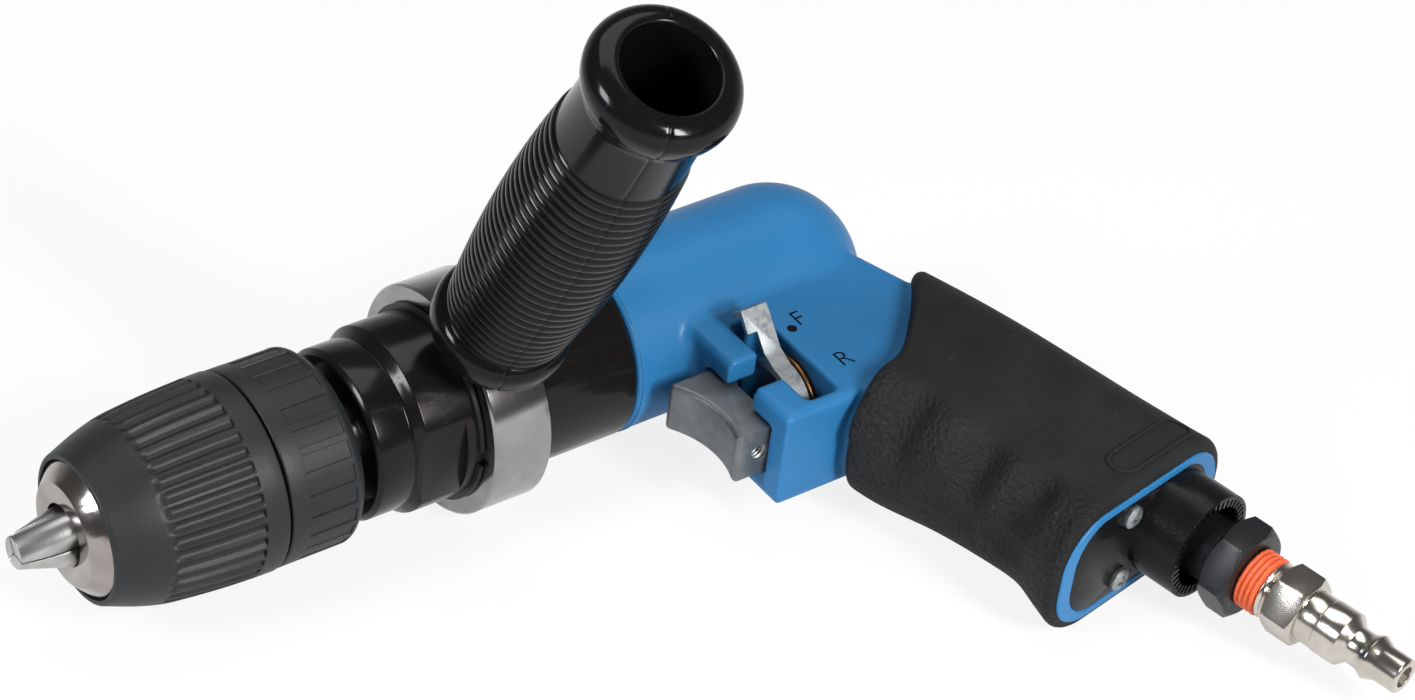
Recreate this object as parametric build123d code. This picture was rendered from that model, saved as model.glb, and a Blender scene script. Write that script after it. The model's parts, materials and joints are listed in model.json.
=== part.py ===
"""Pistol-grip reversible air drill with a keyless chuck and a screw-in side handle, millimetres.

Tool frame: X runs along the spindle with the chuck at the low end, the grip hangs towards -Y and
+Z is the tool's left side. The origin is the centre of the chuck's nose face. The finished tool is
turned about X by LIE_ANGLE, so that it lies on its right side on the handle ring and the grip.
"""
from build123d import *
import math
import os

# Attitude of the whole tool on the bench
LIE_ANGLE = 4.55

# Clearances and small edge cuts
RUN = 0.05
GAP = 0.3
EDGE = 0.5
OVERCUT = 1.0

# Keyless chuck, stations from the nose face
SLEEVE_FRONT_X = 1.4
SLEEVE_FRONT_R = 15.4
SLEEVE_SHOULDER_X = 13.0
SLEEVE_SHOULDER_R = 19.8
SLEEVE_CROWN = 0.45
SLEEVE_WALL = 0.6
SLEEVE_SEAM_X = 40.0
SLEEVE_SEAM_R = 21.7
SLEEVE_SEAM_GAP = 0.6
REAR_SLEEVE_R = 21.5
REAR_CHAMFER = 2.2
CHUCK_END_X = 58.6
FLUTES = 40
FLUTE_R = 1.15
FLUTE_X = (17.0, 34.0)
FLUTE_DEPTH = 0.75
PANELS = 26
PANEL_SHARE = 0.72
PANEL_X = (44.5, 56.0)
PANEL_DEPTH = 0.35
NOSE_R = 14.7
NOSE_FACE_R = 11.2
NOSE_EDGE_X = 3.4
CORE_STEP = 0.9
BIT_BORE_R = 6.8
BIT_BORE_DEPTH = 36.0
NUT_X = (10.0, 17.0)
NUT_SLOT_R = 8.6
JAWS = 3
JAW_ANGLE = 17.0
JAW_R = 3.9
JAW_TIP_X = -11.1
JAW_TIP_R = 3.4
JAW_END_X = 17.5
JAW_STROKE = 21.6
JAW_OVERRUN = 2.0
JAW_SPLIT = 0.25
JAW_TEETH = 5
JAW_TOOTH_PITCH = 1.8
JAW_TOOTH_DEPTH = 0.6
MANDREL_R = 6.35
CHUCK_WEB = 9.0
CHUCK_SCREW_R = 3.0
CHUCK_SCREW_HEAD_R = 4.8
CHUCK_SCREW_HEAD = 4.0
CHUCK_SCREW_IN = 10.0
CHUCK_SCREW_SLOT = 1.4
SLEEVE_BORE_R = SLEEVE_SHOULDER_R - SLEEVE_WALL
SLEEVE_NECK_BORE_R = NOSE_R + 2 * GAP
NUT_R = NOSE_R + GAP
CORE_R = NOSE_R + CORE_STEP
MANDREL_X = BIT_BORE_DEPTH + CHUCK_WEB

# Planetary gears
MODULE = 0.65
SUN_TEETH = 12
PLANET_TEETH = 15
RING_TEETH = SUN_TEETH + 2 * PLANET_TEETH
PRESSURE_ANGLE = 25.0
ADDENDUM = 0.8
DEDENDUM = 1.12
BACKLASH = 0.12
PLANETS = 3
PIN_R = 2.0
PIN_WALL = 1.825
CARRIER_W = 5.0
RING_GEAR_WALL = 3.022
PLANET_ORBIT = MODULE * (SUN_TEETH + PLANET_TEETH) / 2
PLANET_ANGLES = [90.0 + 360.0 * i / PLANETS for i in range(PLANETS)]
CARRIER_R = PLANET_ORBIT + PIN_R + PIN_WALL
GEAR_BORE_R = MODULE * (RING_TEETH / 2 + DEDENDUM) + RING_GEAR_WALL

# Gear case, radii outwards from the ring gear's bore and stations back from the case's front
CHUCK_CLEAR = 3.8
CASE_FRONT_X = CHUCK_END_X + CHUCK_CLEAR
CASE_LENGTH = 63.9
CASE_LIP = 1.6
CASE_WALL = 3.2
CASE_EDGE = 1.0
CASE_CHAMFER = 2.0
NOSE_WALL = 2.9
NOSE_W = 8.6
GROOVE_WALL = 2.2
GROOVE_W = 0.5
WRENCH_CUT = 2.1
WRENCH_END = 20.6
SPIGOT = 5.7
SPIGOT_WALL = 1.0
GEAR_OFFSET = 42.1
GEAR_W = 11.0
CARRIER_SHOULDER = 0.8
BEARING_SHOULDER = 0.6
GEAR_SPACER_WALL = 2.0
SPINDLE_R = 7.5
BEARING_W = 9.0
BEARING_OFFSET = 25.6
RACE_SHARE = 0.3
BALL_SHARE = 0.28
BALL_SPACING = 2.5
CASE_R = GEAR_BORE_R + CASE_WALL
CARRIER_BORE_R = GEAR_BORE_R - CARRIER_SHOULDER
GEAR_SPACER_BORE_R = GEAR_BORE_R - GEAR_SPACER_WALL
BEARING_R = CARRIER_BORE_R - BEARING_SHOULDER
NOSE_CASE_R = BEARING_R + NOSE_WALL
CASE_GROOVE_R = BEARING_R + GROOVE_WALL
NOSE_END_X = CASE_FRONT_X + NOSE_W
CASE_BODY_X = NOSE_END_X + GROOVE_W
WRENCH_X = (CASE_BODY_X, CASE_FRONT_X + WRENCH_END)
BEARING_X = (CASE_FRONT_X + CASE_LIP, CASE_FRONT_X + BEARING_OFFSET)
CARRIER_BORE_X = BEARING_X[1] + BEARING_W + EDGE
GEAR_X = (CASE_FRONT_X + GEAR_OFFSET, CASE_FRONT_X + GEAR_OFFSET + GEAR_W)
CASE_END_X = CASE_FRONT_X + CASE_LENGTH
SPIGOT_END_X = CASE_END_X + SPIGOT

# Air motor, behind the gear case's spigot
MOTOR_LENGTH = 33.0
END_PLATE_W = 6.0
CYLINDER_WALL = 4.0
ECCENTRIC = 1.2
ROTOR_CLEAR = 0.5
ROTOR_SHAFT_R = 3.0
ROTOR_BEARING_R = 7.5
ROTOR_BEARING_W = 5.0
ROTOR_RECESS = 3.0
VANES = 5
VANE_W = 1.6
VANE_DEPTH = 6.5
PORT = (18.0, 12.0, 2.4)
PORT_ANGLE = 35.0
MOTOR_R = GEAR_BORE_R + SPIGOT_WALL
CYLINDER_BORE_R = MOTOR_R - CYLINDER_WALL
ROTOR_R = CYLINDER_BORE_R - ECCENTRIC - ROTOR_CLEAR
FRONT_PLATE_X = (SPIGOT_END_X, SPIGOT_END_X + END_PLATE_W)
CYLINDER_X = (FRONT_PLATE_X[1], FRONT_PLATE_X[1] + MOTOR_LENGTH)
REAR_PLATE_X = (CYLINDER_X[1], CYLINDER_X[1] + END_PLATE_W)

# Motor housing and valve block
HOUSING_WALL = 2.1
HOUSING_LENGTH = 69.6
DOME_FLAT = 0.7
VALVE_DROP = 36.0
BLOCK_HALF = 12.2
BLOCK_OFFSET = 13.7
BLOCK_TOP = 2.0
BLOCK_DEPTH = 17.5
BLOCK_HEEL = 20.0
BLOCK_TOE = 32.0
BLOCK_FOOT = 34.0
BLOCK_TAIL = 43.6
BLOCK_TAIL_RAKE = 13.9
BLOCK_TAIL_DROP = 8.0
BLOCK_EDGE_R = 2.0
BLOCK_BLEND_R = 3.0
HOUSING_R = MOTOR_R + HOUSING_WALL
HOUSING_END_X = CASE_END_X + HOUSING_LENGTH
DOME_R = HOUSING_R - DOME_FLAT
VALVE_Y = -VALVE_DROP
BLOCK_FRONT_X = CASE_END_X + BLOCK_OFFSET
BLOCK_TAIL_X = BLOCK_FRONT_X + BLOCK_TAIL
BLOCK_HIP_X = BLOCK_TAIL_X + BLOCK_TAIL_RAKE
BLOCK_LOW_Y = VALVE_Y - BLOCK_DEPTH
BLOCK_FOOT_Y = VALVE_Y - BLOCK_FOOT

# Grip, stations down the raked inlet axis
GRIP_RAKE = 10.0
INLET_OFFSET = 42.1
GRIP_END = 108.0
GRIP_CORNER = 14.0
RUBBER = 2.8
RIM_W = 2.0
INLET_X = BLOCK_FRONT_X + INLET_OFFSET
# Grip sections: station, front edge, back edge, half width
GRIP_SECTIONS = [
    (GRIP_END - 94.0, -35.0, 14.0, 15.5),
    (GRIP_END - 68.0, -36.5, 15.2, 16.4),
    (GRIP_END - 52.0, -36.5, 16.0, 16.8),
    (GRIP_END - 36.0, -33.2, 16.6, 16.8),
    (GRIP_END - 22.0, -32.0, 17.2, 16.6),
    (GRIP_END - 10.0, -32.4, 17.8, 16.6),
    (GRIP_END, -35.6, 18.4, 16.8),
]
# Upper edge of the rubber from the back of the grip to its front: distance behind the inlet axis, height
RUBBER_EDGE = [
    (29.0, -23.0), (18.9, -24.8), (11.1, -28.5), (-0.1, -40.4), (-9.7, -49.2), (-19.4, -52.7), (-30.5, -57.2),
    (-42.0, -63.0),
]
RUBBER_MARGIN = 40.0

# Trigger, throttle and reverse valve, on an axis parallel to the spindle
TRIGGER_HALF = 6.0
TRIGGER_BELOW = 11.8
TRIGGER_ABOVE = 10.4
TRIGGER_TOP_REACH = 11.4
TRIGGER_LOW_REACH = 8.4
TRIGGER_IN = 2.4
TRIGGER_DISH = 3.4
TRIGGER_STROKE = 6.0
TRIGGER_HOLE_R = 2.05
TRIGGER_HOLE_DEPTH = 7.0
TRIGGER_HOLE_BACK = 6.4
TRIGGER_ROUND = 1.2
POCKET_SPARE = 0.4
NOTCH_BELOW = 5.4
NOTCH_ABOVE = 3.2
WINDOW_AHEAD = 1.4
WINDOW_W = 8.2
WINDOW_HALF = 14.0
WINDOW_FLOOR_Z = 2.0
WINDOW_OPEN = 8.0
STEM_R = 2.2
STEM_IN = 4.0
POPPET_R = 4.6
POPPET_W = 2.4
POPPET_SPIGOT = 2.0
VALVE_R = 8.4
VALVE_WALL = 2.4
VALVE_LENGTH = 18.2
SEAT_BACK = 4.0
SEAT_W = 6.0
SEAT_BORE_R = 3.4
VALVE_PORT = (3.0, 12.0, 5.0)
VALVE_PORT_ANGLES = (40.0, 140.0)
LEVER_W = 4.4
LEVER_T = 1.25
# Lever strip from its foot on the hub to its head: sideways from the valve axis, outwards from it
LEVER_PATH = [(-0.4, 9.0), (3.9, 10.8), (10.2, 18.2)]
LEVER_HEAD = 4.6
LEVER_EAR = 2.4
LEVER_TAB = 3.4
BUSH_FLANGE_R = 10.1
BUSH_FLANGE_W = 0.8
BUSH_R = 9.3
SPRING_R = 3.4
SPRING_WIRE = 0.9
SPRING_TURNS = 6
SPRING_LENGTH = 15.0
SPRING_SEAT_W = 3.0
SPRING_BORE_SPARE = 10.0
TRIGGER_Y = (VALVE_Y - TRIGGER_BELOW, VALVE_Y + TRIGGER_ABOVE)
TRIGGER_TOP_X = BLOCK_FRONT_X - TRIGGER_TOP_REACH
TRIGGER_LOW_X = BLOCK_FRONT_X - TRIGGER_LOW_REACH
TRIGGER_BACK_X = BLOCK_FRONT_X + TRIGGER_IN
POCKET_BACK_X = TRIGGER_BACK_X + TRIGGER_STROKE + POCKET_SPARE
NOTCH_Y = (VALVE_Y - NOTCH_BELOW, VALVE_Y + NOTCH_ABOVE)
WINDOW_X = (POCKET_BACK_X - WINDOW_AHEAD, POCKET_BACK_X - WINDOW_AHEAD + WINDOW_W)
VALVE_END_X = POCKET_BACK_X + VALVE_LENGTH
VALVE_BORE_R = VALVE_R - VALVE_WALL
SEAT_X = VALVE_END_X - SEAT_BACK
POPPET_END_X = SEAT_X + POPPET_W + RUN
SPRING_END_X = VALVE_END_X + SPRING_LENGTH
LEVER_X = (POCKET_BACK_X + EDGE, POCKET_BACK_X + EDGE + LEVER_W)
LEVER_HUB_R = VALVE_R + LEVER_T

# Air inlet and exhaust, stations along the inlet axis
INLET_START = 34.0
COVER_T = 3.0
COVER_STEP = 0.4
PLENUM_DEPTH = 2.0
PLENUM_RIM = 1.2
EXHAUST_R = 12.3
EXHAUST_BORE_R = 9.6
EXHAUST_LENGTH = 11.8
EXHAUST_SLOTS = 40
EXHAUST_SLOT_W = 0.8
EXHAUST_SLOT_REACH = 1.8
EXHAUST_SLOT_DEPTH = 2.5
EXHAUST_HOLES = 8
EXHAUST_HOLE_R = 1.1
MUFFLER_R = 6.0
MUFFLER_T = -18.0
MUFFLER_LENGTH = 39.6
SCREW_HEAD_R = 2.6
SCREW_HEAD = 1.9
SCREW_R = 1.5
SCREW_LENGTH = 10.0
SCREW_CROSS = (3.2, 0.7, 1.6)
SCREW_T = -14.0
SCREW_Z = 8.6
BUSHING_R = 7.0
BUSHING_IN = 24.0
BUSHING_OUT = 16.4
HEX = 19.0
HEX_W = 7.0
HEX_CHAMFER = 1.3
HEX_FACE = 0.2
INLET_BORE_R = 4.5
SCREEN_IN = 0.4
SCREEN_W = 0.8
SCREEN_PITCH = 1.7
SCREEN_HOLE_R = 0.6
SCREEN_ROWS = 2
SCREEN_REACH = 2.6
THREAD_R = 6.5
THREAD_DEPTH = 0.45
THREAD_PITCH = 1.34
SEALANT_W = 5.0
SEALANT_T = 0.25
PLUG_THREAD_BARE = 2.4
PLUG_HEX = 14.0
PLUG_HEX_W = 7.8
PLUG_HEX_CHAMFER = 0.9
PLUG_WAIST_CUT = 0.2
PLUG_WAIST_W = 4.0
PLUG_BODY_R = 6.0
PLUG_BODY_W = 9.6
PLUG_NECK_R = 4.1
PLUG_NECK_FROM = 1.9
PLUG_NECK_TO = 4.6
PLUG_BEAD_R = 5.1
PLUG_BEAD_FROM = 6.0
PLUG_BEAD_W = 1.4
PLUG_BEAD_ROUND = 0.3
PLUG_NOSE_R = 4.0
PLUG_NOSE_FROM = 9.0
PLUG_TIP = 14.3
PLUG_TIP_CHAMFER = 0.4
PLUG_BORE_R = 2.4
COVER_TOP = GRIP_END + COVER_STEP
COVER_FROM = COVER_TOP - COVER_T
PLENUM_FROM = COVER_FROM - PLENUM_DEPTH
MUFFLER_S = (PLENUM_FROM - MUFFLER_LENGTH, PLENUM_FROM)
EXHAUST_END = GRIP_END + EXHAUST_LENGTH
BUSHING_START = GRIP_END - BUSHING_IN
HEX_S = (GRIP_END + BUSHING_OUT, GRIP_END + BUSHING_OUT + HEX_W)
SCREEN_S = (HEX_S[0] + SCREEN_IN, HEX_S[0] + SCREEN_IN + SCREEN_W)
SEALANT_S = (HEX_S[1], HEX_S[1] + SEALANT_W)
PLUG_HEX_S = (SEALANT_S[1] + PLUG_THREAD_BARE, SEALANT_S[1] + PLUG_THREAD_BARE + PLUG_HEX_W)
PLUG_BODY_END = PLUG_HEX_S[1] + PLUG_BODY_W
PLUG_NOSE_S = (PLUG_BODY_END + PLUG_NOSE_FROM, PLUG_BODY_END + PLUG_TIP - PLUG_TIP_CHAMFER)
PLUG_END = PLUG_BODY_END + PLUG_TIP

# Side handle on its ring, heights over the spindle
RING_OFFSET = 24.1
RING_W = 14.2
RING_WALL = 4.9
RING_FLAT = 0.6
SNAP_RING_W = 1.0
SNAP_RING_T = 1.1
SNAP_RING_CLEAR = 0.2
SNAP_RING_SPLIT = 4.0
HANDLE_TILT = -25.7
STUD_R = 4.0
STUD_POINT = 0.8
STUD_IN = 12.0
STUD_HEAD_R = 6.5
STUD_HEAD_W = 5.0
HANDLE_WASHER_T = 1.6
HANDLE_WASHER_R = 9.0
HANDLE_LENGTH = 106.1
HANDLE_BASE_R = 15.0
HANDLE_BASE_W = 8.0
HANDLE_BEAD = 2.0
HANDLE_NECK_R = 13.6
HANDLE_NECK_TAPER = 0.6
HANDLE_RIBS = 27
HANDLE_RIB_FROM = 9.5
HANDLE_RIB_LENGTH = 70.0
HANDLE_RIB_DEPTH = 0.8
HANDLE_ENDS_R = (13.5, 14.2)
HANDLE_BULGE_R = 15.5
HANDLE_FLANGE_R = 15.8
HANDLE_FLANGE_W = 9.6
HANDLE_FLANGE_ROLL = 2.6
HANDLE_HOLE_R = 10.0
HANDLE_HOLE_WEB = 1.1
RING_X = (CASE_FRONT_X + RING_OFFSET, CASE_FRONT_X + RING_OFFSET + RING_W)
RING_R = CASE_R + RING_WALL
WASHER_SEAT = RING_R - RING_FLAT
HANDLE_BASE_Z = WASHER_SEAT + HANDLE_WASHER_T
STUD_HEAD_Z = HANDLE_BASE_Z + STUD_IN
HANDLE_RIB_Z = (HANDLE_BASE_Z + HANDLE_RIB_FROM, HANDLE_BASE_Z + HANDLE_RIB_FROM + HANDLE_RIB_LENGTH)
HANDLE_END_Z = HANDLE_BASE_Z + HANDLE_LENGTH
HANDLE_HOLE_DEPTH = HANDLE_LENGTH - STUD_IN - STUD_HEAD_W - HANDLE_HOLE_WEB


# Shape helpers

def turned(*points):
    """Solid of revolution about X from (x, radius) points."""
    return revolve(make_face(Polyline(*points, close=True)), Axis.X)


def rod(x0, x1, radius):
    """Round bar along X."""
    return turned((x0, 0), (x0, radius), (x1, radius), (x1, 0))


def tube(x0, x1, bore, radius):
    """Round tube along X."""
    return turned((x0, bore), (x0, radius), (x1, radius), (x1, bore))


def spun(*points):
    """Solid of revolution about Z from (radius, z) points."""
    return revolve(make_face(Plane.XZ * Polyline(*points, close=True)), Axis.Z)


def plug(s0, s1, radius):
    """Round bar along Z."""
    return spun((0, s0), (radius, s0), (radius, s1), (0, s1))


def prism_x(outline, x0, x1):
    """Prism along X from an outline of (y, z) points."""
    face = make_face(Plane.YZ.offset(x0) * Polyline(*outline, close=True))
    return extrude(face, amount=x1 - x0, dir=(1, 0, 0))


def slab(outline, half):
    """Prism along Z, as deep below the mid-plane as above it, from (x, y) points."""
    return extrude(make_face(Polyline(*outline, close=True)), amount=half, both=True)


def strip_outline(path, thickness):
    """Outline of a bent strip of even thickness along a path of points, with mitred bends."""
    ways = [Vector(*b) - Vector(*a) for a, b in zip(path, path[1:])]
    normals = [Vector(-way.Y, way.X).normalized() for way in ways]
    sides = []
    for i, point in enumerate(path):
        before = normals[max(0, i - 1)]
        after = normals[min(len(normals) - 1, i)]
        mitre = (before + after) * (thickness / 2 / (1 + before.dot(after)))
        sides.append((Vector(*point) + mitre, Vector(*point) - mitre))
    outline = [side[0] for side in sides] + [side[1] for side in reversed(sides)]
    return [(corner.X, corner.Y) for corner in outline]


def around_x(count, shape, start=0.0):
    """Copies of a shape, evenly spaced about X."""
    return [Rot(X=start + 360.0 * i / count) * shape for i in range(count)]


def rake_plane():
    """Frame of the air inlet: local Z down the grip, local X to the back, local Y to the left."""
    a = math.radians(GRIP_RAKE)
    return Plane(
        origin=(INLET_X, 0, 0),
        x_dir=(math.cos(a), math.sin(a), 0),
        z_dir=(math.sin(a), -math.cos(a), 0),
    )


INLET = rake_plane()
HANDLE = Pos((RING_X[0] + RING_X[1]) / 2, 0, 0) * Rot(X=-HANDLE_TILT)
VALVE = Pos(0, VALVE_Y, 0)


# Gears

def gear_outline(teeth, root, tip, slack, phase):
    """Involute outline as (y, z) points, with a tooth centred on the phase angle."""
    pitch = MODULE * teeth / 2
    base = pitch * math.cos(math.radians(PRESSURE_ANGLE))

    def involute(radius):
        angle = math.acos(min(1.0, base / radius))
        return math.tan(angle) - angle

    half_pitch = math.pi / (2 * teeth) - slack / (2 * pitch)
    flank_from = max(root, base)
    flank = [flank_from + (tip - flank_from) * k / 3 for k in range(4)]
    half = [half_pitch + involute(pitch) - involute(r) for r in flank]
    rising = [(r, -h) for r, h in zip(flank, half)]
    falling = [(r, h) for r, h in zip(reversed(flank), reversed(half))]
    if root < flank_from:
        rising.insert(0, (root, -half[0]))
        falling.append((root, half[0]))
    points = []
    for i in range(teeth):
        centre = math.radians(phase) + 2 * math.pi * i / teeth
        for radius, offset in rising + falling:
            angle = centre + offset
            points.append((radius * math.cos(angle), radius * math.sin(angle)))
    return points


def external_gear(teeth, x0, x1, phase):
    """Spur gear about X."""
    pitch = MODULE * teeth / 2
    outline = gear_outline(teeth, pitch - DEDENDUM * MODULE, pitch + ADDENDUM * MODULE, BACKLASH, phase)
    return prism_x(outline, x0, x1)


def planet_phase(angle):
    """Angle of a planet's tooth that puts a gap against the sun's nearest tooth."""
    step = 360.0 / SUN_TEETH
    sun_offset = round(angle / step) * step - angle
    return angle + 180.0 + 180.0 / PLANET_TEETH - sun_offset * SUN_TEETH / PLANET_TEETH


def ring_phase():
    """Angle of a gap in the ring gear that takes the first planet's outermost tooth."""
    angle = PLANET_ANGLES[0]
    step = 360.0 / PLANET_TEETH
    offset = (planet_phase(angle) - angle) % step
    return angle + offset * PLANET_TEETH / RING_TEETH


def orbit_place(angle):
    a = math.radians(angle)
    return Pos(0, PLANET_ORBIT * math.cos(a), PLANET_ORBIT * math.sin(a))


def ring_gear():
    pitch = MODULE * RING_TEETH / 2
    hole = gear_outline(
        RING_TEETH, pitch - ADDENDUM * MODULE, pitch + DEDENDUM * MODULE, -BACKLASH, ring_phase()
    )
    return rod(*GEAR_X, GEAR_BORE_R) - prism_x(hole, *GEAR_X)


def planet_gear(angle):
    gear = external_gear(PLANET_TEETH, *GEAR_X, planet_phase(angle)) - rod(*GEAR_X, PIN_R + RUN)
    return orbit_place(angle) * gear


# Ball bearings

def bearing(x0, width, bore, radius):
    """Outer race with its balls, and the inner race, about X."""
    mid = x0 + width / 2
    orbit = (bore + radius) / 2
    race = RACE_SHARE * (radius - bore)
    ball_r = BALL_SHARE * (radius - bore)
    groove = revolve(Pos(mid, orbit) * Circle(ball_r + RUN), Axis.X)
    outer = tube(x0, x0 + width, radius - race, radius) - groove
    inner = tube(x0, x0 + width, bore, bore + race) - groove
    count = int(2 * math.pi * orbit / (BALL_SPACING * ball_r))
    balls = around_x(count, Pos(mid, orbit, 0) * Sphere(ball_r))
    return Compound([outer, *balls]), inner


def spindle_bearing(x0):
    return bearing(x0, BEARING_W, SPINDLE_R, BEARING_R)


def rotor_bearing(x0):
    return bearing(x0, ROTOR_BEARING_W, ROTOR_SHAFT_R, ROTOR_BEARING_R)


# Keyless chuck

JAW_TAN = math.tan(math.radians(JAW_ANGLE))
JAW_COS = math.cos(math.radians(JAW_ANGLE))
JAW_CROSS_X = JAW_TIP_X + (JAW_R / JAW_COS - JAW_TIP_R) / JAW_TAN
JAW_BORE_END_X = JAW_END_X + JAW_STROKE * JAW_COS + JAW_OVERRUN


def jaw_bar(radius, x0, x1):
    """Round bar on the first jaw's slanting axis, between two stations along X."""
    start = (x0 - JAW_CROSS_X) / JAW_COS
    end = (x1 - JAW_CROSS_X) / JAW_COS
    return Pos(JAW_CROSS_X, 0, 0) * Rot(Z=JAW_ANGLE) * rod(start, end, radius)


def jaw(index):
    """One of the jaws: a slanting bar, split from its neighbours and cut square at the tip."""
    bar = jaw_bar(JAW_R, JAW_TIP_X - 2 * JAW_R, JAW_END_X)
    far = JAW_END_X - JAW_TIP_X + 4 * JAW_R
    edge = math.tan(math.radians(180.0 / JAWS)) * far
    sector = prism_x([(JAW_SPLIT, 0), (far, edge), (far, -edge)], JAW_TIP_X, JAW_END_X + JAW_R)
    body = bar & sector
    for k in range(JAW_TEETH):
        x = JAW_END_X - JAW_TOOTH_PITCH * (k + 0.5)
        reach = (x - JAW_CROSS_X) / JAW_COS
        ring = tube(reach, reach + JAW_TOOTH_PITCH / 2, JAW_R - JAW_TOOTH_DEPTH, JAW_R + OVERCUT)
        half = Pos(0, JAW_R, 0) * Box(4 * far, 2 * JAW_R, 4 * JAW_R)
        body -= Pos(JAW_CROSS_X, 0, 0) * Rot(Z=JAW_ANGLE) * (ring & half)
    return Rot(X=360.0 * index / JAWS) * body


def front_sleeve():
    """Fluted plastic sleeve that turns the chuck's nut."""
    back = SLEEVE_SEAM_X - SLEEVE_SEAM_GAP / 2
    crown = ((SLEEVE_SHOULDER_X + back) / 2, (SLEEVE_SHOULDER_R + SLEEVE_SEAM_R) / 2 + SLEEVE_CROWN)
    outline = [
        Polyline((back, SLEEVE_BORE_R), (NUT_X[1], SLEEVE_BORE_R), (NUT_X[1], NUT_R), (NUT_X[0], NUT_R),
                 (NUT_X[0], SLEEVE_NECK_BORE_R), (SLEEVE_FRONT_X, SLEEVE_NECK_BORE_R),
                 (SLEEVE_FRONT_X, SLEEVE_FRONT_R), (SLEEVE_SHOULDER_X, SLEEVE_SHOULDER_R)),
        ThreePointArc((SLEEVE_SHOULDER_X, SLEEVE_SHOULDER_R), crown, (back, SLEEVE_SEAM_R)),
        Line((back, SLEEVE_SEAM_R), (back, SLEEVE_BORE_R)),
    ]
    body = revolve(make_face(outline), Axis.X)
    x0, x1 = FLUTE_X
    slope = (SLEEVE_SEAM_R - SLEEVE_SHOULDER_R) / (back - SLEEVE_SHOULDER_X)
    start_r = SLEEVE_SHOULDER_R + slope * (x0 - SLEEVE_SHOULDER_X) + SLEEVE_CROWN
    tool = Rot(Z=math.degrees(math.atan(slope))) * (rod(0, x1 - x0, FLUTE_R) + Sphere(FLUTE_R))
    flute = Pos(x0, start_r + FLUTE_R - FLUTE_DEPTH, 0) * tool
    return body - around_x(FLUTES, flute)


def rear_sleeve():
    """Fixed plastic sleeve that the other hand holds."""
    front = SLEEVE_SEAM_X + SLEEVE_SEAM_GAP / 2
    x0, x1 = PANEL_X
    body = turned(
        (front, CORE_R), (front, REAR_SLEEVE_R), (CHUCK_END_X - REAR_CHAMFER, REAR_SLEEVE_R),
        (CHUCK_END_X, REAR_SLEEVE_R - REAR_CHAMFER), (CHUCK_END_X, CORE_R),
    )
    width = 2 * math.pi * REAR_SLEEVE_R / PANELS * PANEL_SHARE
    panel = Pos((x0 + x1) / 2, REAR_SLEEVE_R - PANEL_DEPTH + OVERCUT, 0) * Box(x1 - x0, 2 * OVERCUT, width)
    return body - around_x(PANELS, panel)


def chuck_body():
    """Steel core with the plated nose, the three jaw bores, the bit bore and the spindle thread."""
    slot_from = NUT_X[0] - GAP
    slot_to = NUT_X[1] + GAP
    core = turned(
        (0, 0), (0, NOSE_FACE_R), (NOSE_EDGE_X, NOSE_R), (slot_from, NOSE_R), (slot_from, NUT_SLOT_R),
        (slot_to, NUT_SLOT_R), (slot_to, CORE_R), (CHUCK_END_X, CORE_R), (CHUCK_END_X, 0),
    )
    core -= rod(0, BIT_BORE_DEPTH, BIT_BORE_R)
    core -= rod(BIT_BORE_DEPTH, MANDREL_X, CHUCK_SCREW_R + RUN)
    core -= rod(MANDREL_X, CHUCK_END_X, MANDREL_R)
    return core - around_x(JAWS, jaw_bar(JAW_R + RUN, JAW_TIP_X, JAW_BORE_END_X))


def chuck_nut():
    """Ring that the sleeve turns, with a cone clear of the jaws."""
    x0, x1 = NUT_X

    def clear(x):
        return (x - JAW_CROSS_X) * JAW_TAN + JAW_R / JAW_COS + GAP

    return turned((x0 + RUN, clear(x0)), (x0 + RUN, NUT_R), (x1, NUT_R), (x1, clear(x1)))


def chuck_screw():
    """Screw through the bit bore that locks the chuck on the spindle."""
    head_x = BIT_BORE_DEPTH - CHUCK_SCREW_HEAD
    head = rod(head_x, BIT_BORE_DEPTH, CHUCK_SCREW_HEAD_R)
    slot = Pos(head_x, 0, 0) * Box(CHUCK_SCREW_HEAD, 2 * CHUCK_SCREW_HEAD_R, CHUCK_SCREW_SLOT)
    return head + rod(BIT_BORE_DEPTH, MANDREL_X + CHUCK_SCREW_IN, CHUCK_SCREW_R) - slot


# Gear case and spindle

def gear_case():
    """Black front housing: bearing nose, ring seat, wrench flats and the spigot into the motor housing."""
    bearing_from = BEARING_X[0]
    shaft_hole = SPINDLE_R + 3 * GAP
    body = turned(
        (CASE_FRONT_X, shaft_hole), (CASE_FRONT_X, NOSE_CASE_R - CASE_EDGE),
        (CASE_FRONT_X + CASE_EDGE, NOSE_CASE_R), (NOSE_END_X, NOSE_CASE_R), (NOSE_END_X, CASE_GROOVE_R),
        (CASE_BODY_X, CASE_GROOVE_R), (CASE_BODY_X + CASE_CHAMFER, CASE_R), (CASE_END_X - CASE_EDGE, CASE_R),
        (CASE_END_X, CASE_R - CASE_EDGE), (CASE_END_X, MOTOR_R), (SPIGOT_END_X, MOTOR_R),
        (SPIGOT_END_X, GEAR_BORE_R), (GEAR_X[0], GEAR_BORE_R), (GEAR_X[0], CARRIER_BORE_R),
        (CARRIER_BORE_X, CARRIER_BORE_R), (CARRIER_BORE_X, BEARING_R), (bearing_from, BEARING_R),
        (bearing_from, shaft_hole),
    )
    x0, x1 = WRENCH_X
    cutter = Pos((x0 + x1) / 2, 3 * CASE_R / 2 - WRENCH_CUT, 0) * Box(x1 - x0, CASE_R, 3 * CASE_R)
    return body - [cutter, Rot(X=180) * cutter]


def gear_spacer():
    """Plain ring that holds the ring gear against its shoulder."""
    return tube(GEAR_X[1], SPIGOT_END_X, GEAR_SPACER_BORE_R, GEAR_BORE_R)


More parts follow.
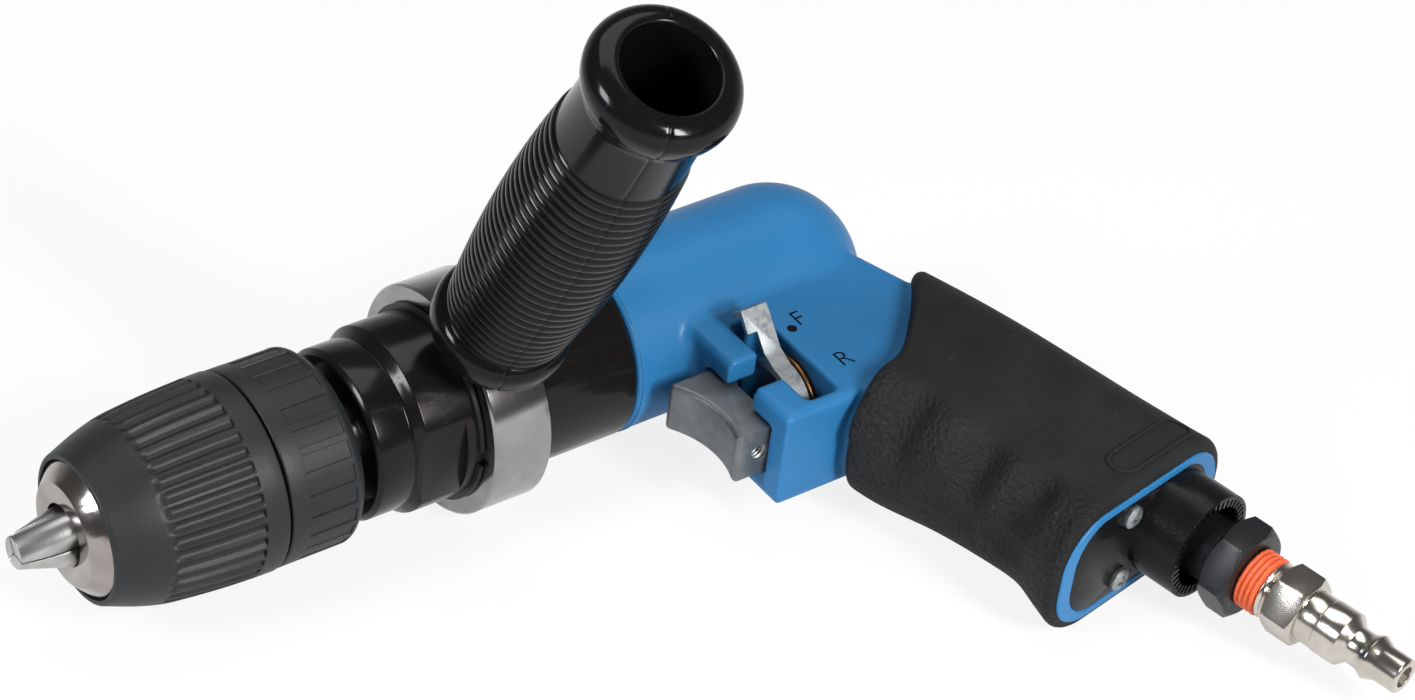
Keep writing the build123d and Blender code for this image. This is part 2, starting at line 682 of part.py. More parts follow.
def handle_snap_ring():
    """Split wire ring that keeps the handle ring on its seat."""
    x1 = RING_X[0] - SNAP_RING_CLEAR
    x0 = x1 - SNAP_RING_W
    ring = tube(x0, x1, CASE_R, CASE_R + SNAP_RING_T)
    return ring - Pos((x0 + x1) / 2, -CASE_R, 0) * Box(2 * SNAP_RING_W, 4 * SNAP_RING_T, SNAP_RING_SPLIT)


def dust_seal():
    """Felt washer in the case's mouth, round the spindle."""
    return tube(CASE_FRONT_X + GAP, BEARING_X[0], SPINDLE_R + RUN, SPINDLE_R + 3 * GAP)


def bearing_spacer():
    bore = BEARING_R - RACE_SHARE * (BEARING_R - SPINDLE_R)
    return tube(BEARING_X[0] + BEARING_W, BEARING_X[1], bore, BEARING_R)


def spindle():
    """Output shaft with the planet carrier on its back and the chuck's thread on its front."""
    carrier_to = GEAR_X[0] - GAP
    carrier_from = carrier_to - CARRIER_W
    body = turned(
        (MANDREL_X + GAP, 0), (MANDREL_X + GAP, MANDREL_R), (CHUCK_END_X, MANDREL_R), (CHUCK_END_X, SPINDLE_R),
        (carrier_from, SPINDLE_R), (carrier_from, CARRIER_R), (carrier_to, CARRIER_R), (carrier_to, 0),
    )
    body -= rod(MANDREL_X, MANDREL_X + CHUCK_SCREW_IN + OVERCUT, CHUCK_SCREW_R)
    pin_hole = rod(carrier_from, carrier_to, PIN_R)
    return body - [orbit_place(a) * pin_hole for a in PLANET_ANGLES]


def planet_pins():
    carrier_from = GEAR_X[0] - GAP - CARRIER_W
    return Compound([orbit_place(a) * rod(carrier_from, GEAR_X[1] + GAP, PIN_R) for a in PLANET_ANGLES])


# Air motor

def motor_cylinder():
    """Liner with the eccentric bore that the vanes sweep, and its air ports."""
    x0, x1 = CYLINDER_X
    bore = Pos(0, -ECCENTRIC, 0) * rod(x0, x1, CYLINDER_BORE_R)
    port = Pos((x0 + x1) / 2, -MOTOR_R, 0) * Box(*PORT)
    return rod(x0, x1, MOTOR_R) - bore - [Rot(X=-PORT_ANGLE) * port, Rot(X=PORT_ANGLE) * port]


def end_plate(x0, seat_x):
    """Plate that closes the cylinder and holds one rotor bearing."""
    plate = rod(x0, x0 + END_PLATE_W, MOTOR_R) - rod(x0, x0 + END_PLATE_W, ROTOR_SHAFT_R + GAP)
    return plate - rod(seat_x, seat_x + ROTOR_BEARING_W, ROTOR_BEARING_R)


def rotor():
    """Slotted rotor with its shaft and the sun gear cut on the front end."""
    x0, x1 = CYLINDER_X[0] + GAP, CYLINDER_X[1] - GAP
    body = rod(x0, x1, ROTOR_R) + rod(GEAR_X[1], REAR_PLATE_X[1] - EDGE, ROTOR_SHAFT_R)
    slot_depth = VANE_DEPTH + OVERCUT
    slot_mid = Pos((x0 + x1) / 2, ROTOR_R - VANE_DEPTH + slot_depth / 2, 0)
    slot = slot_mid * Box(x1 - x0, slot_depth, VANE_W + 2 * RUN)
    body -= around_x(VANES, slot)
    return body + external_gear(SUN_TEETH, GEAR_X[0] + GAP, GEAR_X[1] + GAP, 0.0)


def vanes():
    """Sliding vanes, drawn in to the bottom of their slots."""
    x0, x1 = CYLINDER_X[0] + GAP, CYLINDER_X[1] - GAP
    blade = Pos((x0 + x1) / 2, ROTOR_R - VANE_DEPTH / 2, 0) * Box(x1 - x0, VANE_DEPTH, VANE_W)
    return Compound(around_x(VANES, blade))


# Motor housing and grip

def grip_section(station, front, back, half, inset):
    depth = back - front - 2 * inset
    width = 2 * (half - inset)
    corner = min(GRIP_CORNER - inset, width / 2 - EDGE)
    return Pos((front + back) / 2, 0, station) * RectangleRounded(depth, width, corner)


def grip_loft(inset):
    """Lofted grip body, the given distance inside the rubber's surface."""
    return INLET * loft([grip_section(*row, inset) for row in GRIP_SECTIONS])


def below_rubber_edge():
    """Everything below the rubber's upper edge."""
    edge = [(INLET_X + x, y) for x, y in RUBBER_EDGE]
    low = -GRIP_END - RUBBER_MARGIN
    back = edge[0][0] + RUBBER_MARGIN
    rest = Polyline(edge[-1], (edge[-1][0], low), (back, low), (back, edge[0][1]), edge[0])
    return extrude(make_face([Spline(*edge), rest]), amount=RUBBER_MARGIN, both=True)


def housing_form():
    """Outer form of the casting: motor barrel, domed end, valve block and grip core."""
    barrel = rod(CASE_END_X, HOUSING_END_X, HOUSING_R)
    barrel = fillet(barrel.edges().filter_by(GeomType.CIRCLE).sort_by(Axis.X)[-1], DOME_R)
    block = slab(
        [(BLOCK_FRONT_X, -BLOCK_TOP), (BLOCK_FRONT_X, BLOCK_LOW_Y), (BLOCK_FRONT_X + BLOCK_HEEL, BLOCK_LOW_Y),
         (BLOCK_FRONT_X + BLOCK_TOE, BLOCK_FOOT_Y), (BLOCK_HIP_X, BLOCK_FOOT_Y),
         (BLOCK_HIP_X, VALVE_Y - BLOCK_TAIL_DROP), (BLOCK_TAIL_X, -BLOCK_TOP)],
        BLOCK_HALF,
    )
    rims = block.edges().filter_by(GeomType.LINE) - block.edges().filter_by(Axis.Z)
    block = fillet(rims.filter_by_position(Axis.Y, BLOCK_FOOT_Y - OVERCUT, -BLOCK_TOP - OVERCUT), BLOCK_EDGE_R)
    body = barrel + block
    seams = body.edges().filter_by(Axis.X).filter_by_position(Axis.Y, -HOUSING_R, -BLOCK_TOP - OVERCUT)
    return fillet(seams, BLOCK_BLEND_R) + (grip_loft(RUBBER) & below_rubber_edge())


def grip_sleeve(form):
    """Rubber sleeve over the grip core, with an S-shaped upper edge."""
    return (grip_loft(0) & below_rubber_edge()) - form


def cover_outline(inset):
    """Cover plate's outline in the inlet frame, inside the casting's rim."""
    _, front, back, half = GRIP_SECTIONS[-1]
    return grip_section(0, front, back, half, RUBBER + RIM_W + inset)


def trigger_pocket():
    """Room for the trigger's travel, open to the front."""
    low, high = TRIGGER_Y
    length = POCKET_BACK_X - TRIGGER_TOP_X
    box = Box(length, high - low + 3 * GAP, 2 * (TRIGGER_HALF + GAP))
    return Pos(POCKET_BACK_X - length / 2, (low + high) / 2, 0) * box


def lever_window():
    """Side opening for the lever's arm, with the notch that joins it to the trigger's opening."""
    height = BLOCK_HALF + WINDOW_OPEN - WINDOW_FLOOR_Z
    box = Box(WINDOW_X[1] - WINDOW_X[0], 2 * WINDOW_HALF, height)
    window = Pos(sum(WINDOW_X) / 2, VALVE_Y, WINDOW_FLOOR_Z + height / 2) * box
    length = WINDOW_X[0] - BLOCK_FRONT_X + 2 * OVERCUT
    notch_box = Box(length, NOTCH_Y[1] - NOTCH_Y[0], BLOCK_HALF)
    middle = (WINDOW_X[0] + BLOCK_FRONT_X) / 2
    return window + Pos(middle, sum(NOTCH_Y) / 2, TRIGGER_HALF + BLOCK_HALF / 2) * notch_box


def inlet_passages():
    """Inlet bore, exhaust bore, plenum, cover recess and screw holes, in the inlet frame."""
    inlet = plug(INLET_START, COVER_TOP, INLET_BORE_R) + plug(BUSHING_START, COVER_TOP, BUSHING_R)
    exhaust = Pos(MUFFLER_T, 0, 0) * plug(MUFFLER_S[0], COVER_TOP, MUFFLER_R)
    recess = Pos(0, 0, COVER_FROM) * extrude(cover_outline(0), amount=COVER_T)
    plenum = Pos(0, 0, PLENUM_FROM) * extrude(cover_outline(PLENUM_RIM), amount=PLENUM_DEPTH)
    screw_hole = plug(COVER_TOP - SCREW_LENGTH, COVER_TOP, SCREW_R)
    holes = [Pos(SCREW_T, z, 0) * screw_hole for z in (-SCREW_Z, SCREW_Z)]
    return [INLET * tool for tool in (inlet, exhaust, recess, plenum, *holes)]


def motor_housing(form):
    """Blue casting with its motor bore, valve bores, trigger pocket, lever window and grip passages."""
    body = form - rod(CASE_END_X, REAR_PLATE_X[1], MOTOR_R)
    body -= rod(REAR_PLATE_X[1], REAR_PLATE_X[1] + ROTOR_RECESS, ROTOR_BEARING_R)
    body -= VALVE * rod(POCKET_BACK_X - OVERCUT, VALVE_END_X, VALVE_R)
    body -= VALVE * rod(VALVE_END_X, SPRING_END_X + SPRING_BORE_SPARE, VALVE_BORE_R)
    body -= VALVE * rod(POCKET_BACK_X, WINDOW_X[1], BUSH_FLANGE_R + 2 * RUN)
    return body - [trigger_pocket(), lever_window(), *inlet_passages()]


# Trigger group

def trigger():
    """Die-cast trigger with a dished face and a threaded hole in its lower end."""
    low, high = TRIGGER_Y
    mid = ((TRIGGER_TOP_X + TRIGGER_LOW_X) / 2 + TRIGGER_DISH, (low + high) / 2)
    face = make_face([
        ThreePointArc((TRIGGER_TOP_X, high), mid, (TRIGGER_LOW_X, low)),
        Polyline((TRIGGER_LOW_X, low), (TRIGGER_BACK_X, low), (TRIGGER_BACK_X, high), (TRIGGER_TOP_X, high)),
    ])
    body = extrude(face, amount=TRIGGER_HALF, both=True)
    front_to = TRIGGER_LOW_X + TRIGGER_DISH + OVERCUT
    front = body.edges().filter_by_position(Axis.X, TRIGGER_TOP_X - OVERCUT, front_to)
    body = fillet(front, TRIGGER_ROUND)
    hole_place = Pos(TRIGGER_LOW_X + TRIGGER_HOLE_BACK, low + TRIGGER_HOLE_DEPTH / 2, 0)
    hole = hole_place * Rot(X=90) * Cylinder(TRIGGER_HOLE_R, TRIGGER_HOLE_DEPTH)
    stem_hole = VALVE * rod(TRIGGER_BACK_X - STEM_IN, TRIGGER_BACK_X, STEM_R)
    return body - hole - stem_hole


def throttle_stem():
    """Push rod from the trigger to the poppet that opens the air."""
    spigot = SPRING_R - SPRING_WIRE - GAP
    stem = turned(
        (TRIGGER_BACK_X - STEM_IN, 0), (TRIGGER_BACK_X - STEM_IN, STEM_R), (SEAT_X + RUN, STEM_R),
        (SEAT_X + RUN, POPPET_R), (POPPET_END_X, POPPET_R), (POPPET_END_X, spigot),
        (POPPET_END_X + POPPET_SPIGOT, spigot), (POPPET_END_X + POPPET_SPIGOT, 0),
    )
    return VALVE * stem


def throttle_spring():
    """Coil that closes the poppet, between it and the end of the bore."""
    coil_r = SPRING_R - SPRING_WIRE / 2
    start = POPPET_END_X + SPRING_WIRE / 2 + RUN
    height = SPRING_END_X - SPRING_WIRE / 2 - RUN - start
    path = Helix(height / SPRING_TURNS, height, coil_r)
    wire = sweep(Plane(path @ 0, z_dir=path % 0) * Circle(SPRING_WIRE / 2), path)
    return VALVE * Pos(start, 0, 0) * Rot(Y=90) * wire


def spring_seat():
    """Ring that the throttle spring pushes against, open for the air."""
    return VALVE * tube(SPRING_END_X, SPRING_END_X + SPRING_SEAT_W, SPRING_R - SPRING_WIRE, VALVE_BORE_R)


def reverse_valve():
    """Rotary sleeve round the throttle stem, with the poppet's seat in its back end."""
    front = POCKET_BACK_X + GAP
    back = VALVE_END_X - GAP
    outer = VALVE_R - RUN
    chamber = VALVE_BORE_R - OVERCUT
    sleeve = turned(
        (front, STEM_R + GAP), (front, outer), (back, outer), (back, chamber), (SEAT_X, chamber),
        (SEAT_X, SEAT_BORE_R), (SEAT_X - SEAT_W, SEAT_BORE_R), (SEAT_X - SEAT_W, STEM_R + GAP),
    )
    port = Pos(SEAT_X - SEAT_BACK, VALVE_R, 0) * Box(*VALVE_PORT)
    return VALVE * (sleeve - [Rot(X=a) * port for a in VALVE_PORT_ANGLES])


def reverse_lever():
    """Lever of bent strip: a band round the valve, an arm out through the window and a folded wide head."""
    x0, x1 = LEVER_X
    hub = tube(x0, x1, VALVE_R - RUN, LEVER_HUB_R)
    knee, top = (Vector(*point) for point in LEVER_PATH[-2:])
    way = (top - knee).normalized()
    neck = top - way * LEVER_HEAD
    fold = top + Vector(way.Y, -way.X) * LEVER_TAB
    head_path = [(point.X, point.Y) for point in (neck, top, fold)]
    arm = prism_x(strip_outline(LEVER_PATH, LEVER_T), x0, x1)
    head = prism_x(strip_outline(head_path, LEVER_T), x0 - LEVER_EAR, x1)
    return VALVE * (hub + arm + head)


def thrust_bush():
    """Flanged bronze bush behind the lever's hub."""
    x0 = LEVER_X[1] + GAP
    flange_to = x0 + BUSH_FLANGE_W
    bore = VALVE_R + RUN
    back = WINDOW_X[1]
    return VALVE * turned(
        (x0, bore), (x0, BUSH_FLANGE_R), (flange_to, BUSH_FLANGE_R), (flange_to, BUSH_R), (back, BUSH_R),
        (back, bore),
    )


# Air inlet and exhaust

def exhaust_cover():
    """Black cover in the grip's end, with a louvred exhaust collar round the inlet."""
    plate = Pos(0, 0, COVER_FROM) * extrude(cover_outline(0), amount=COVER_T)
    collar = plug(COVER_TOP, EXHAUST_END, EXHAUST_R) - plug(COVER_TOP, EXHAUST_END, EXHAUST_BORE_R)
    hole = plug(COVER_FROM, COVER_TOP, BUSHING_R)
    slot_place = Pos(EXHAUST_BORE_R + (EXHAUST_SLOT_REACH - OVERCUT) / 2, 0, EXHAUST_END)
    slot = slot_place * Box(EXHAUST_SLOT_REACH + OVERCUT, EXHAUST_SLOT_W, 2 * EXHAUST_SLOT_DEPTH)
    slots = [Rot(Z=360.0 * i / EXHAUST_SLOTS) * slot for i in range(EXHAUST_SLOTS)]
    vent = Pos((BUSHING_R + EXHAUST_BORE_R) / 2, 0, 0) * plug(COVER_FROM, COVER_TOP, EXHAUST_HOLE_R)
    vents = [Rot(Z=360.0 * (i + 0.5) / EXHAUST_HOLES) * vent for i in range(EXHAUST_HOLES)]
    screw_holes = [Pos(SCREW_T, z, 0) * plug(COVER_FROM, COVER_TOP, SCREW_R) for z in (-SCREW_Z, SCREW_Z)]
    return INLET * (plate + collar - hole - slots - vents - screw_holes)


def cover_screws():
    """The two pan-head screws that hold the cover."""
    top = COVER_TOP
    rim = SCREW_HEAD / 2
    screw = plug(top - SCREW_LENGTH, top, SCREW_R)
    screw += spun((0, top), (SCREW_HEAD_R, top), (SCREW_HEAD_R, top + rim), (SCREW_R, top + SCREW_HEAD - GAP),
                  (0, top + SCREW_HEAD))
    length, width, depth = SCREW_CROSS
    cross = Pos(0, 0, top + SCREW_HEAD - GAP) * (Box(length, width, depth) + Box(width, length, depth))
    return Compound([INLET * (Pos(SCREW_T, z, 0) * (screw - cross)) for z in (-SCREW_Z, SCREW_Z)])


def hexagon(across, s0, s1, chamfer):
    """Hexagon bar along Z with chamfered ends."""
    bar = Pos(0, 0, s0) * extrude(RegularPolygon(across / 2, 6, major_radius=False), amount=s1 - s0)
    face_r = across / 2 - HEX_FACE
    corner_r = across / math.sqrt(3)
    return bar & spun(
        (0, s0), (face_r, s0), (corner_r, s0 + chamfer), (corner_r, s1 - chamfer), (face_r, s1), (0, s1)
    )


def inlet_bushing():
    """Black inlet nipple with a hexagon, screwed into the grip."""
    s0, s1 = HEX_S
    body = plug(BUSHING_START, s0, BUSHING_R) + hexagon(HEX, s0, s1, HEX_CHAMFER)
    bores = [plug(BUSHING_START, s1, INLET_BORE_R), plug(SCREEN_S[0], s1, THREAD_R - THREAD_DEPTH)]
    return INLET * (body - bores)


def inlet_screen():
    """Wire strainer disc under the plug."""
    s0, s1 = SCREEN_S
    hole = plug(s0, s1, SCREEN_HOLE_R)
    rows = range(-SCREEN_ROWS, SCREEN_ROWS + 1)
    grid = [(i, j) for i in rows for j in rows if math.hypot(i, j) < SCREEN_REACH]
    holes = [Pos(SCREEN_PITCH * i, SCREEN_PITCH * j, 0) * hole for i, j in grid]
    return INLET * (plug(s0, s1, THREAD_R - THREAD_DEPTH) - holes)


def thread_points(s0, s1, radius, depth):
    """Saw-tooth (radius, station) points of a threaded stretch."""
    turns = max(1, round((s1 - s0) / THREAD_PITCH))
    step = (s1 - s0) / turns
    points = []
    for i in range(turns):
        points += [(radius - depth, s0 + step * i), (radius, s0 + step * (i + 0.5))]
    return [*points, (radius - depth, s1)]


def air_plug():
    """Quick-connect plug: taper thread, hexagon, body, locking neck, bead and nose."""
    h0, h1 = PLUG_HEX_S
    start = SCREEN_S[1]
    core_r = THREAD_R - THREAD_DEPTH
    thread = thread_points(SEALANT_S[1], h0, THREAD_R, THREAD_DEPTH)
    shank = spun((0, start), (core_r, start), *thread, (0, h0))
    end = PLUG_BODY_END
    waist_r = PLUG_BODY_R - PLUG_WAIST_CUT
    bead_r = PLUG_BEAD_R - PLUG_BEAD_ROUND
    body = spun(
        (0, h1), (waist_r, h1), (waist_r, h1 + PLUG_WAIST_W),
        (PLUG_BODY_R, h1 + PLUG_WAIST_W + PLUG_WAIST_CUT),
        (PLUG_BODY_R, end), (PLUG_NECK_R, end + PLUG_NECK_FROM), (PLUG_NECK_R, end + PLUG_NECK_TO),
        (bead_r, end + PLUG_BEAD_FROM), (PLUG_BEAD_R, end + PLUG_BEAD_FROM + PLUG_BEAD_W / 2),
        (bead_r, end + PLUG_BEAD_FROM + PLUG_BEAD_W), (PLUG_NOSE_R, PLUG_NOSE_S[0]),
        (PLUG_NOSE_R, PLUG_NOSE_S[1]), (PLUG_NOSE_R - PLUG_TIP_CHAMFER, PLUG_END), (0, PLUG_END),
    )
    solid = shank + hexagon(PLUG_HEX, h0, h1, PLUG_HEX_CHAMFER) + body
    return INLET * (solid - plug(start, PLUG_END, PLUG_BORE_R))


def thread_sealant():
    """Orange sealant on the turns of thread that show."""
    s0, s1 = SEALANT_S
    core_r = THREAD_R - THREAD_DEPTH
    return INLET * spun((core_r, s0), *thread_points(s0, s1, THREAD_R + SEALANT_T, THREAD_DEPTH), (core_r, s1))


def muffler():
    """Felt plug in the exhaust passage."""
    return INLET * (Pos(MUFFLER_T, 0, 0) * plug(*MUFFLER_S, MUFFLER_R))


# Side handle

def handle_ring():
    """Steel ring that turns on the gear case, with a flat and a threaded hole for the handle."""
    x0, x1 = RING_X
    bore = CASE_R + RUN
    ring = turned(
        (x0, bore), (x0, RING_R - EDGE), (x0 + EDGE, RING_R), (x1 - EDGE, RING_R), (x1, RING_R - EDGE),
        (x1, bore),
    )
    flat = HANDLE * (Pos(0, 0, WASHER_SEAT + RING_R / 2) * Box(2 * RING_W, 2 * RING_R, RING_R))
    hole = HANDLE * plug(CASE_R - OVERCUT, RING_R + OVERCUT, STUD_R + RUN)
    return ring - flat - hole


def handle_washer():
    z0, z1 = WASHER_SEAT, HANDLE_BASE_Z
    return HANDLE * (plug(z0, z1, HANDLE_WASHER_R) - plug(z0, z1, STUD_R + RUN))


def stud_head():
    """Hexagon head moulded into the handle."""
    head = RegularPolygon(STUD_HEAD_R, 6, major_radius=False)
    return Pos(0, 0, STUD_HEAD_Z) * extrude(head, amount=STUD_HEAD_W)


def handle_stud():
    """Stud moulded into the handle, whose end clamps on the gear case."""
    z0 = CASE_R + GAP
    top = STUD_HEAD_Z
    stud = spun((0, z0), (STUD_R - STUD_POINT, z0), (STUD_R, z0 + STUD_POINT), (STUD_R, top), (0, top))
    return HANDLE * (stud + stud_head())


def handle_profile_r(z):
    """Crest radius of the ribbed barrel at a height."""
    z0, z1 = HANDLE_RIB_Z
    r0, r1 = HANDLE_ENDS_R
    share = (z - z0) / (z1 - z0)
    return r0 + (r1 - r0) * share + (HANDLE_BULGE_R - (r0 + r1) / 2) * 4 * share * (1 - share)


def handle_grip():
    """Hollow plastic handle with a ribbed barrel, a smooth neck and rounded collars at both ends."""
    z0, z1 = HANDLE_RIB_Z
    step = (z1 - z0) / HANDLE_RIBS
    ribs = []
    for i in range(HANDLE_RIBS):
        z = z0 + step * i
        ribs += [(handle_profile_r(z) - HANDLE_RIB_DEPTH, z), (handle_profile_r(z + step / 2), z + step / 2)]
    base = HANDLE_BASE_Z
    collar = HANDLE_BASE_R - HANDLE_BEAD
    bead = base + HANDLE_BASE_W
    end = HANDLE_END_Z
    flange_z = end - HANDLE_FLANGE_W
    neck_r = HANDLE_NECK_R - HANDLE_NECK_TAPER
    rim_r = HANDLE_FLANGE_R - HANDLE_FLANGE_ROLL
    hole_z = end - HANDLE_HOLE_DEPTH
    outline = [
        Polyline((STUD_R, base), (collar, base)),
        ThreePointArc((collar, base), (HANDLE_BASE_R, base + HANDLE_BASE_W / 2), (collar, bead)),
        Polyline((collar, bead), *ribs, (handle_profile_r(z1) - HANDLE_RIB_DEPTH, z1),
                 (HANDLE_NECK_R, z1 + OVERCUT), (neck_r, flange_z)),
        ThreePointArc((neck_r, flange_z), (HANDLE_FLANGE_R, flange_z + HANDLE_FLANGE_W / 2), (rim_r, end)),
        Polyline((rim_r, end), (HANDLE_HOLE_R, end), (HANDLE_HOLE_R, hole_z), (STUD_R, hole_z),
                 (STUD_R, base)),
    ]
    body = revolve(make_face([Plane.XZ * line for line in outline]), Axis.Z)
    return HANDLE * (body - stud_head())


# Assembly

def build():
    """All sub-parts by node name, in the tool frame."""
    form = housing_form()
    front_outer, front_inner = spindle_bearing(BEARING_X[0])
    back_outer, back_inner = spindle_bearing(BEARING_X[1])
    seat_front = FRONT_PLATE_X[0]
    seat_rear = REAR_PLATE_X[1] - ROTOR_BEARING_W
    rotor_front_outer, rotor_front_inner = rotor_bearing(seat_front)
    rotor_rear_outer, rotor_rear_inner = rotor_bearing(seat_rear)
    parts = {
        "motor_housing": motor_housing(form),
        "grip_sleeve": grip_sleeve(form),
        "gear_case": gear_case(),
        "handle_snap_ring": handle_snap_ring(),
        "dust_seal": dust_seal(),
        "front_spindle_bearing": front_outer,
        "front_spindle_inner_race": front_inner,
        "rear_spindle_bearing": back_outer,
        "rear_spindle_inner_race": back_inner,
        "bearing_spacer": bearing_spacer(),
        "ring_gear": ring_gear(),
        "gear_spacer": gear_spacer(),
        "motor_cylinder": motor_cylinder(),
        "front_end_plate": end_plate(FRONT_PLATE_X[0], seat_front),
        "rear_end_plate": end_plate(REAR_PLATE_X[0], seat_rear),
        "front_rotor_bearing": rotor_front_outer,
        "front_rotor_inner_race": rotor_front_inner,
        "rear_rotor_bearing": rotor_rear_outer,
        "rear_rotor_inner_race": rotor_rear_inner,
        "rotor": rotor(),
        "rotor_vanes": vanes(),
        "spindle": spindle(),
        "planet_pins": planet_pins(),
        "chuck_body": chuck_body(),
        "rear_sleeve": rear_sleeve(),
        "front_sleeve": front_sleeve(),
        "chuck_nut": chuck_nut(),
        "chuck_screw": chuck_screw(),
        "trigger": trigger(),
        "throttle_stem": throttle_stem(),
        "throttle_spring": throttle_spring(),
        "spring_seat": spring_seat(),
        "reverse_valve": reverse_valve(),
        "reverse_lever": reverse_lever(),
        "thrust_bush": thrust_bush(),
        "exhaust_cover": exhaust_cover(),
        "cover_screws": cover_screws(),
        "muffler": muffler(),
        "inlet_bushing": inlet_bushing(),
        "inlet_screen": inlet_screen(),
        "air_plug": air_plug(),
        "thread_sealant": thread_sealant(),
        "handle_ring": handle_ring(),
        "handle_washer": handle_washer(),
        "handle_stud": handle_stud(),
        "handle_grip": handle_grip(),
    }
    for i, angle in enumerate(PLANET_ANGLES):
        parts[f"planet_gear_{i + 1}"] = planet_gear(angle)
    for i in range(JAWS):
        parts[f"jaw_{i + 1}"] = jaw(i)
    return parts


def main():
    os.makedirs("parts", exist_ok=True)
    lie = Rot(X=LIE_ANGLE)
    for name, shape in build().items():
        export_step(lie * shape, f"parts/{name}.step")


if __name__ == "__main__":
    main()
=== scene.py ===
"""Looks of a pistol-grip air drill with a side handle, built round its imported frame.

Shapes are worked out in millimetres in the frame that suits each piece and are then put in place:
SPINDLE has its Z along the spindle, INLET down the grip along the air inlet, HANDLE along the side handle,
and TOOL has X along the spindle, -Y down the grip and +Z to the tool's left.
"""
import json
import math
from types import SimpleNamespace

import bmesh
import bpy
from bpy.props import FloatProperty, FloatVectorProperty, IntProperty, PointerProperty
from mathutils import Matrix, Vector

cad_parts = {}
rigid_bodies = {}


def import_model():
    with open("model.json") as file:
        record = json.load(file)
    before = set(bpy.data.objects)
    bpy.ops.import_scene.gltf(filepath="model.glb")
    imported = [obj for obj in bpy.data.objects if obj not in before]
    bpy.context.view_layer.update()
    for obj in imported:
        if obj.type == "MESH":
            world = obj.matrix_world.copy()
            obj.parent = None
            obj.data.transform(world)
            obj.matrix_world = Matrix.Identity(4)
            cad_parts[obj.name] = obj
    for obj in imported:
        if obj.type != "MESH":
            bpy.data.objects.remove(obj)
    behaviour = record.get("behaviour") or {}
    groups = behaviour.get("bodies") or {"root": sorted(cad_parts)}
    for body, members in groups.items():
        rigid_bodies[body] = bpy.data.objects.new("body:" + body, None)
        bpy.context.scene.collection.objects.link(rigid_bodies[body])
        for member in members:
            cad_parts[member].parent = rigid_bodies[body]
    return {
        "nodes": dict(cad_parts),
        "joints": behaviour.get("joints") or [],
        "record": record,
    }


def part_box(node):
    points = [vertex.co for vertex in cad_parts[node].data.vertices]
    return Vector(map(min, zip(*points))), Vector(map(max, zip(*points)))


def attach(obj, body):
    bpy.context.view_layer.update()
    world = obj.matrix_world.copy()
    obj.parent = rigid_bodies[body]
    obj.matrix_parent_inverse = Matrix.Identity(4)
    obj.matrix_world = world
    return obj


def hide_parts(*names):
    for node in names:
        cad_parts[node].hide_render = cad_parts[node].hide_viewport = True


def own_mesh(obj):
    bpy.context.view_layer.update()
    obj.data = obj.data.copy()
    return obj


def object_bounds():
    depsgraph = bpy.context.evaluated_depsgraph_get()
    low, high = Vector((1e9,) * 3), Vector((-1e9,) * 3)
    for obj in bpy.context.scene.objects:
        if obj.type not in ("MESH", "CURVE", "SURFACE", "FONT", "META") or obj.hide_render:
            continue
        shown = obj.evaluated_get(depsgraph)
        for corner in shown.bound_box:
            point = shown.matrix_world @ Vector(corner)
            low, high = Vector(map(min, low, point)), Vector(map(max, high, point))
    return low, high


bl_info = {
    "name": "Air drill",
    "version": (1, 0, 0),
    "blender": (4, 5, 0),
    "location": "View3D > Sidebar > Air drill",
    "description": "Dresses an air drill: chuck, gear case, side handle, casting, grip and air fittings",
    "category": "Add Mesh",
}

for leftover in list(bpy.data.objects):
    bpy.data.objects.remove(leftover)
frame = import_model()
CAD_BOX = [list(corner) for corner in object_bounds()]

# A millimetre in metres, the millimetres below which two points are one, and how round shapes are divided
MM = 0.001
WELD = 0.002
FULL_TURN = 2 * math.pi
ROUND_SEGMENTS = 4


# Frames of the tool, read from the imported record

def named(rows, name):
    return next(row for row in rows if row["name"] == name)


INLET_MOUNT = named(frame["record"]["mounts"], "air_inlet")
HOLE_MOUNT = named(frame["record"]["mounts"], "trigger_screw_hole")
INLET_AXIS = Vector(INLET_MOUNT["axis"])
LIE = math.atan2(-INLET_AXIS.z, -INLET_AXIS.y)
RAKE = math.asin(INLET_AXIS.x)
TOOL = Matrix.Rotation(LIE, 4, "X") @ Matrix.Scale(MM, 4)
TOOL_INVERSE = TOOL.inverted()


def in_tool(point):
    """A point of the row frame, in the tool frame and in millimetres."""
    return TOOL_INVERSE @ Vector(point)


def axes(x_axis, y_axis, z_axis, origin):
    """Matrix whose columns are three axes and an origin."""
    columns = [Vector(axis).to_4d() for axis in (x_axis, y_axis, z_axis)]
    for column in columns:
        column.w = 0.0
    return Matrix([*columns, Vector(origin).to_4d()]).transposed()


INLET_POINT = in_tool(INLET_MOUNT["pos_m"])
INLET_X = INLET_POINT.x + INLET_POINT.y * math.tan(RAKE)
TRIGGER_STROKE = named(frame["joints"], "trigger_pull")["range_m"][1] / MM
HANDLE_JOINT = named(frame["joints"], "handle_unscrew")
HANDLE_SEAT = in_tool(HANDLE_JOINT["pos_m"])
HANDLE_AXIS = TOOL_INVERSE.to_3x3() @ Vector(HANDLE_JOINT["axis"])
HANDLE_AXIS.normalize()
SPINDLE = TOOL @ axes((0, 1, 0), (0, 0, 1), (1, 0, 0), (0, 0, 0))
INLET = TOOL @ axes(
    (math.cos(RAKE), math.sin(RAKE), 0), (0, 0, 1), (math.sin(RAKE), -math.cos(RAKE), 0), (INLET_X, 0, 0)
)
HANDLE = TOOL @ axes((1, 0, 0), HANDLE_AXIS.cross((1, 0, 0)), HANDLE_AXIS, (HANDLE_SEAT.x, 0, 0))
TRIGGER_HOLE = TOOL @ axes((1, 0, 0), (0, 0, 1), (0, -1, 0), in_tool(HOLE_MOUNT["pos_m"]))


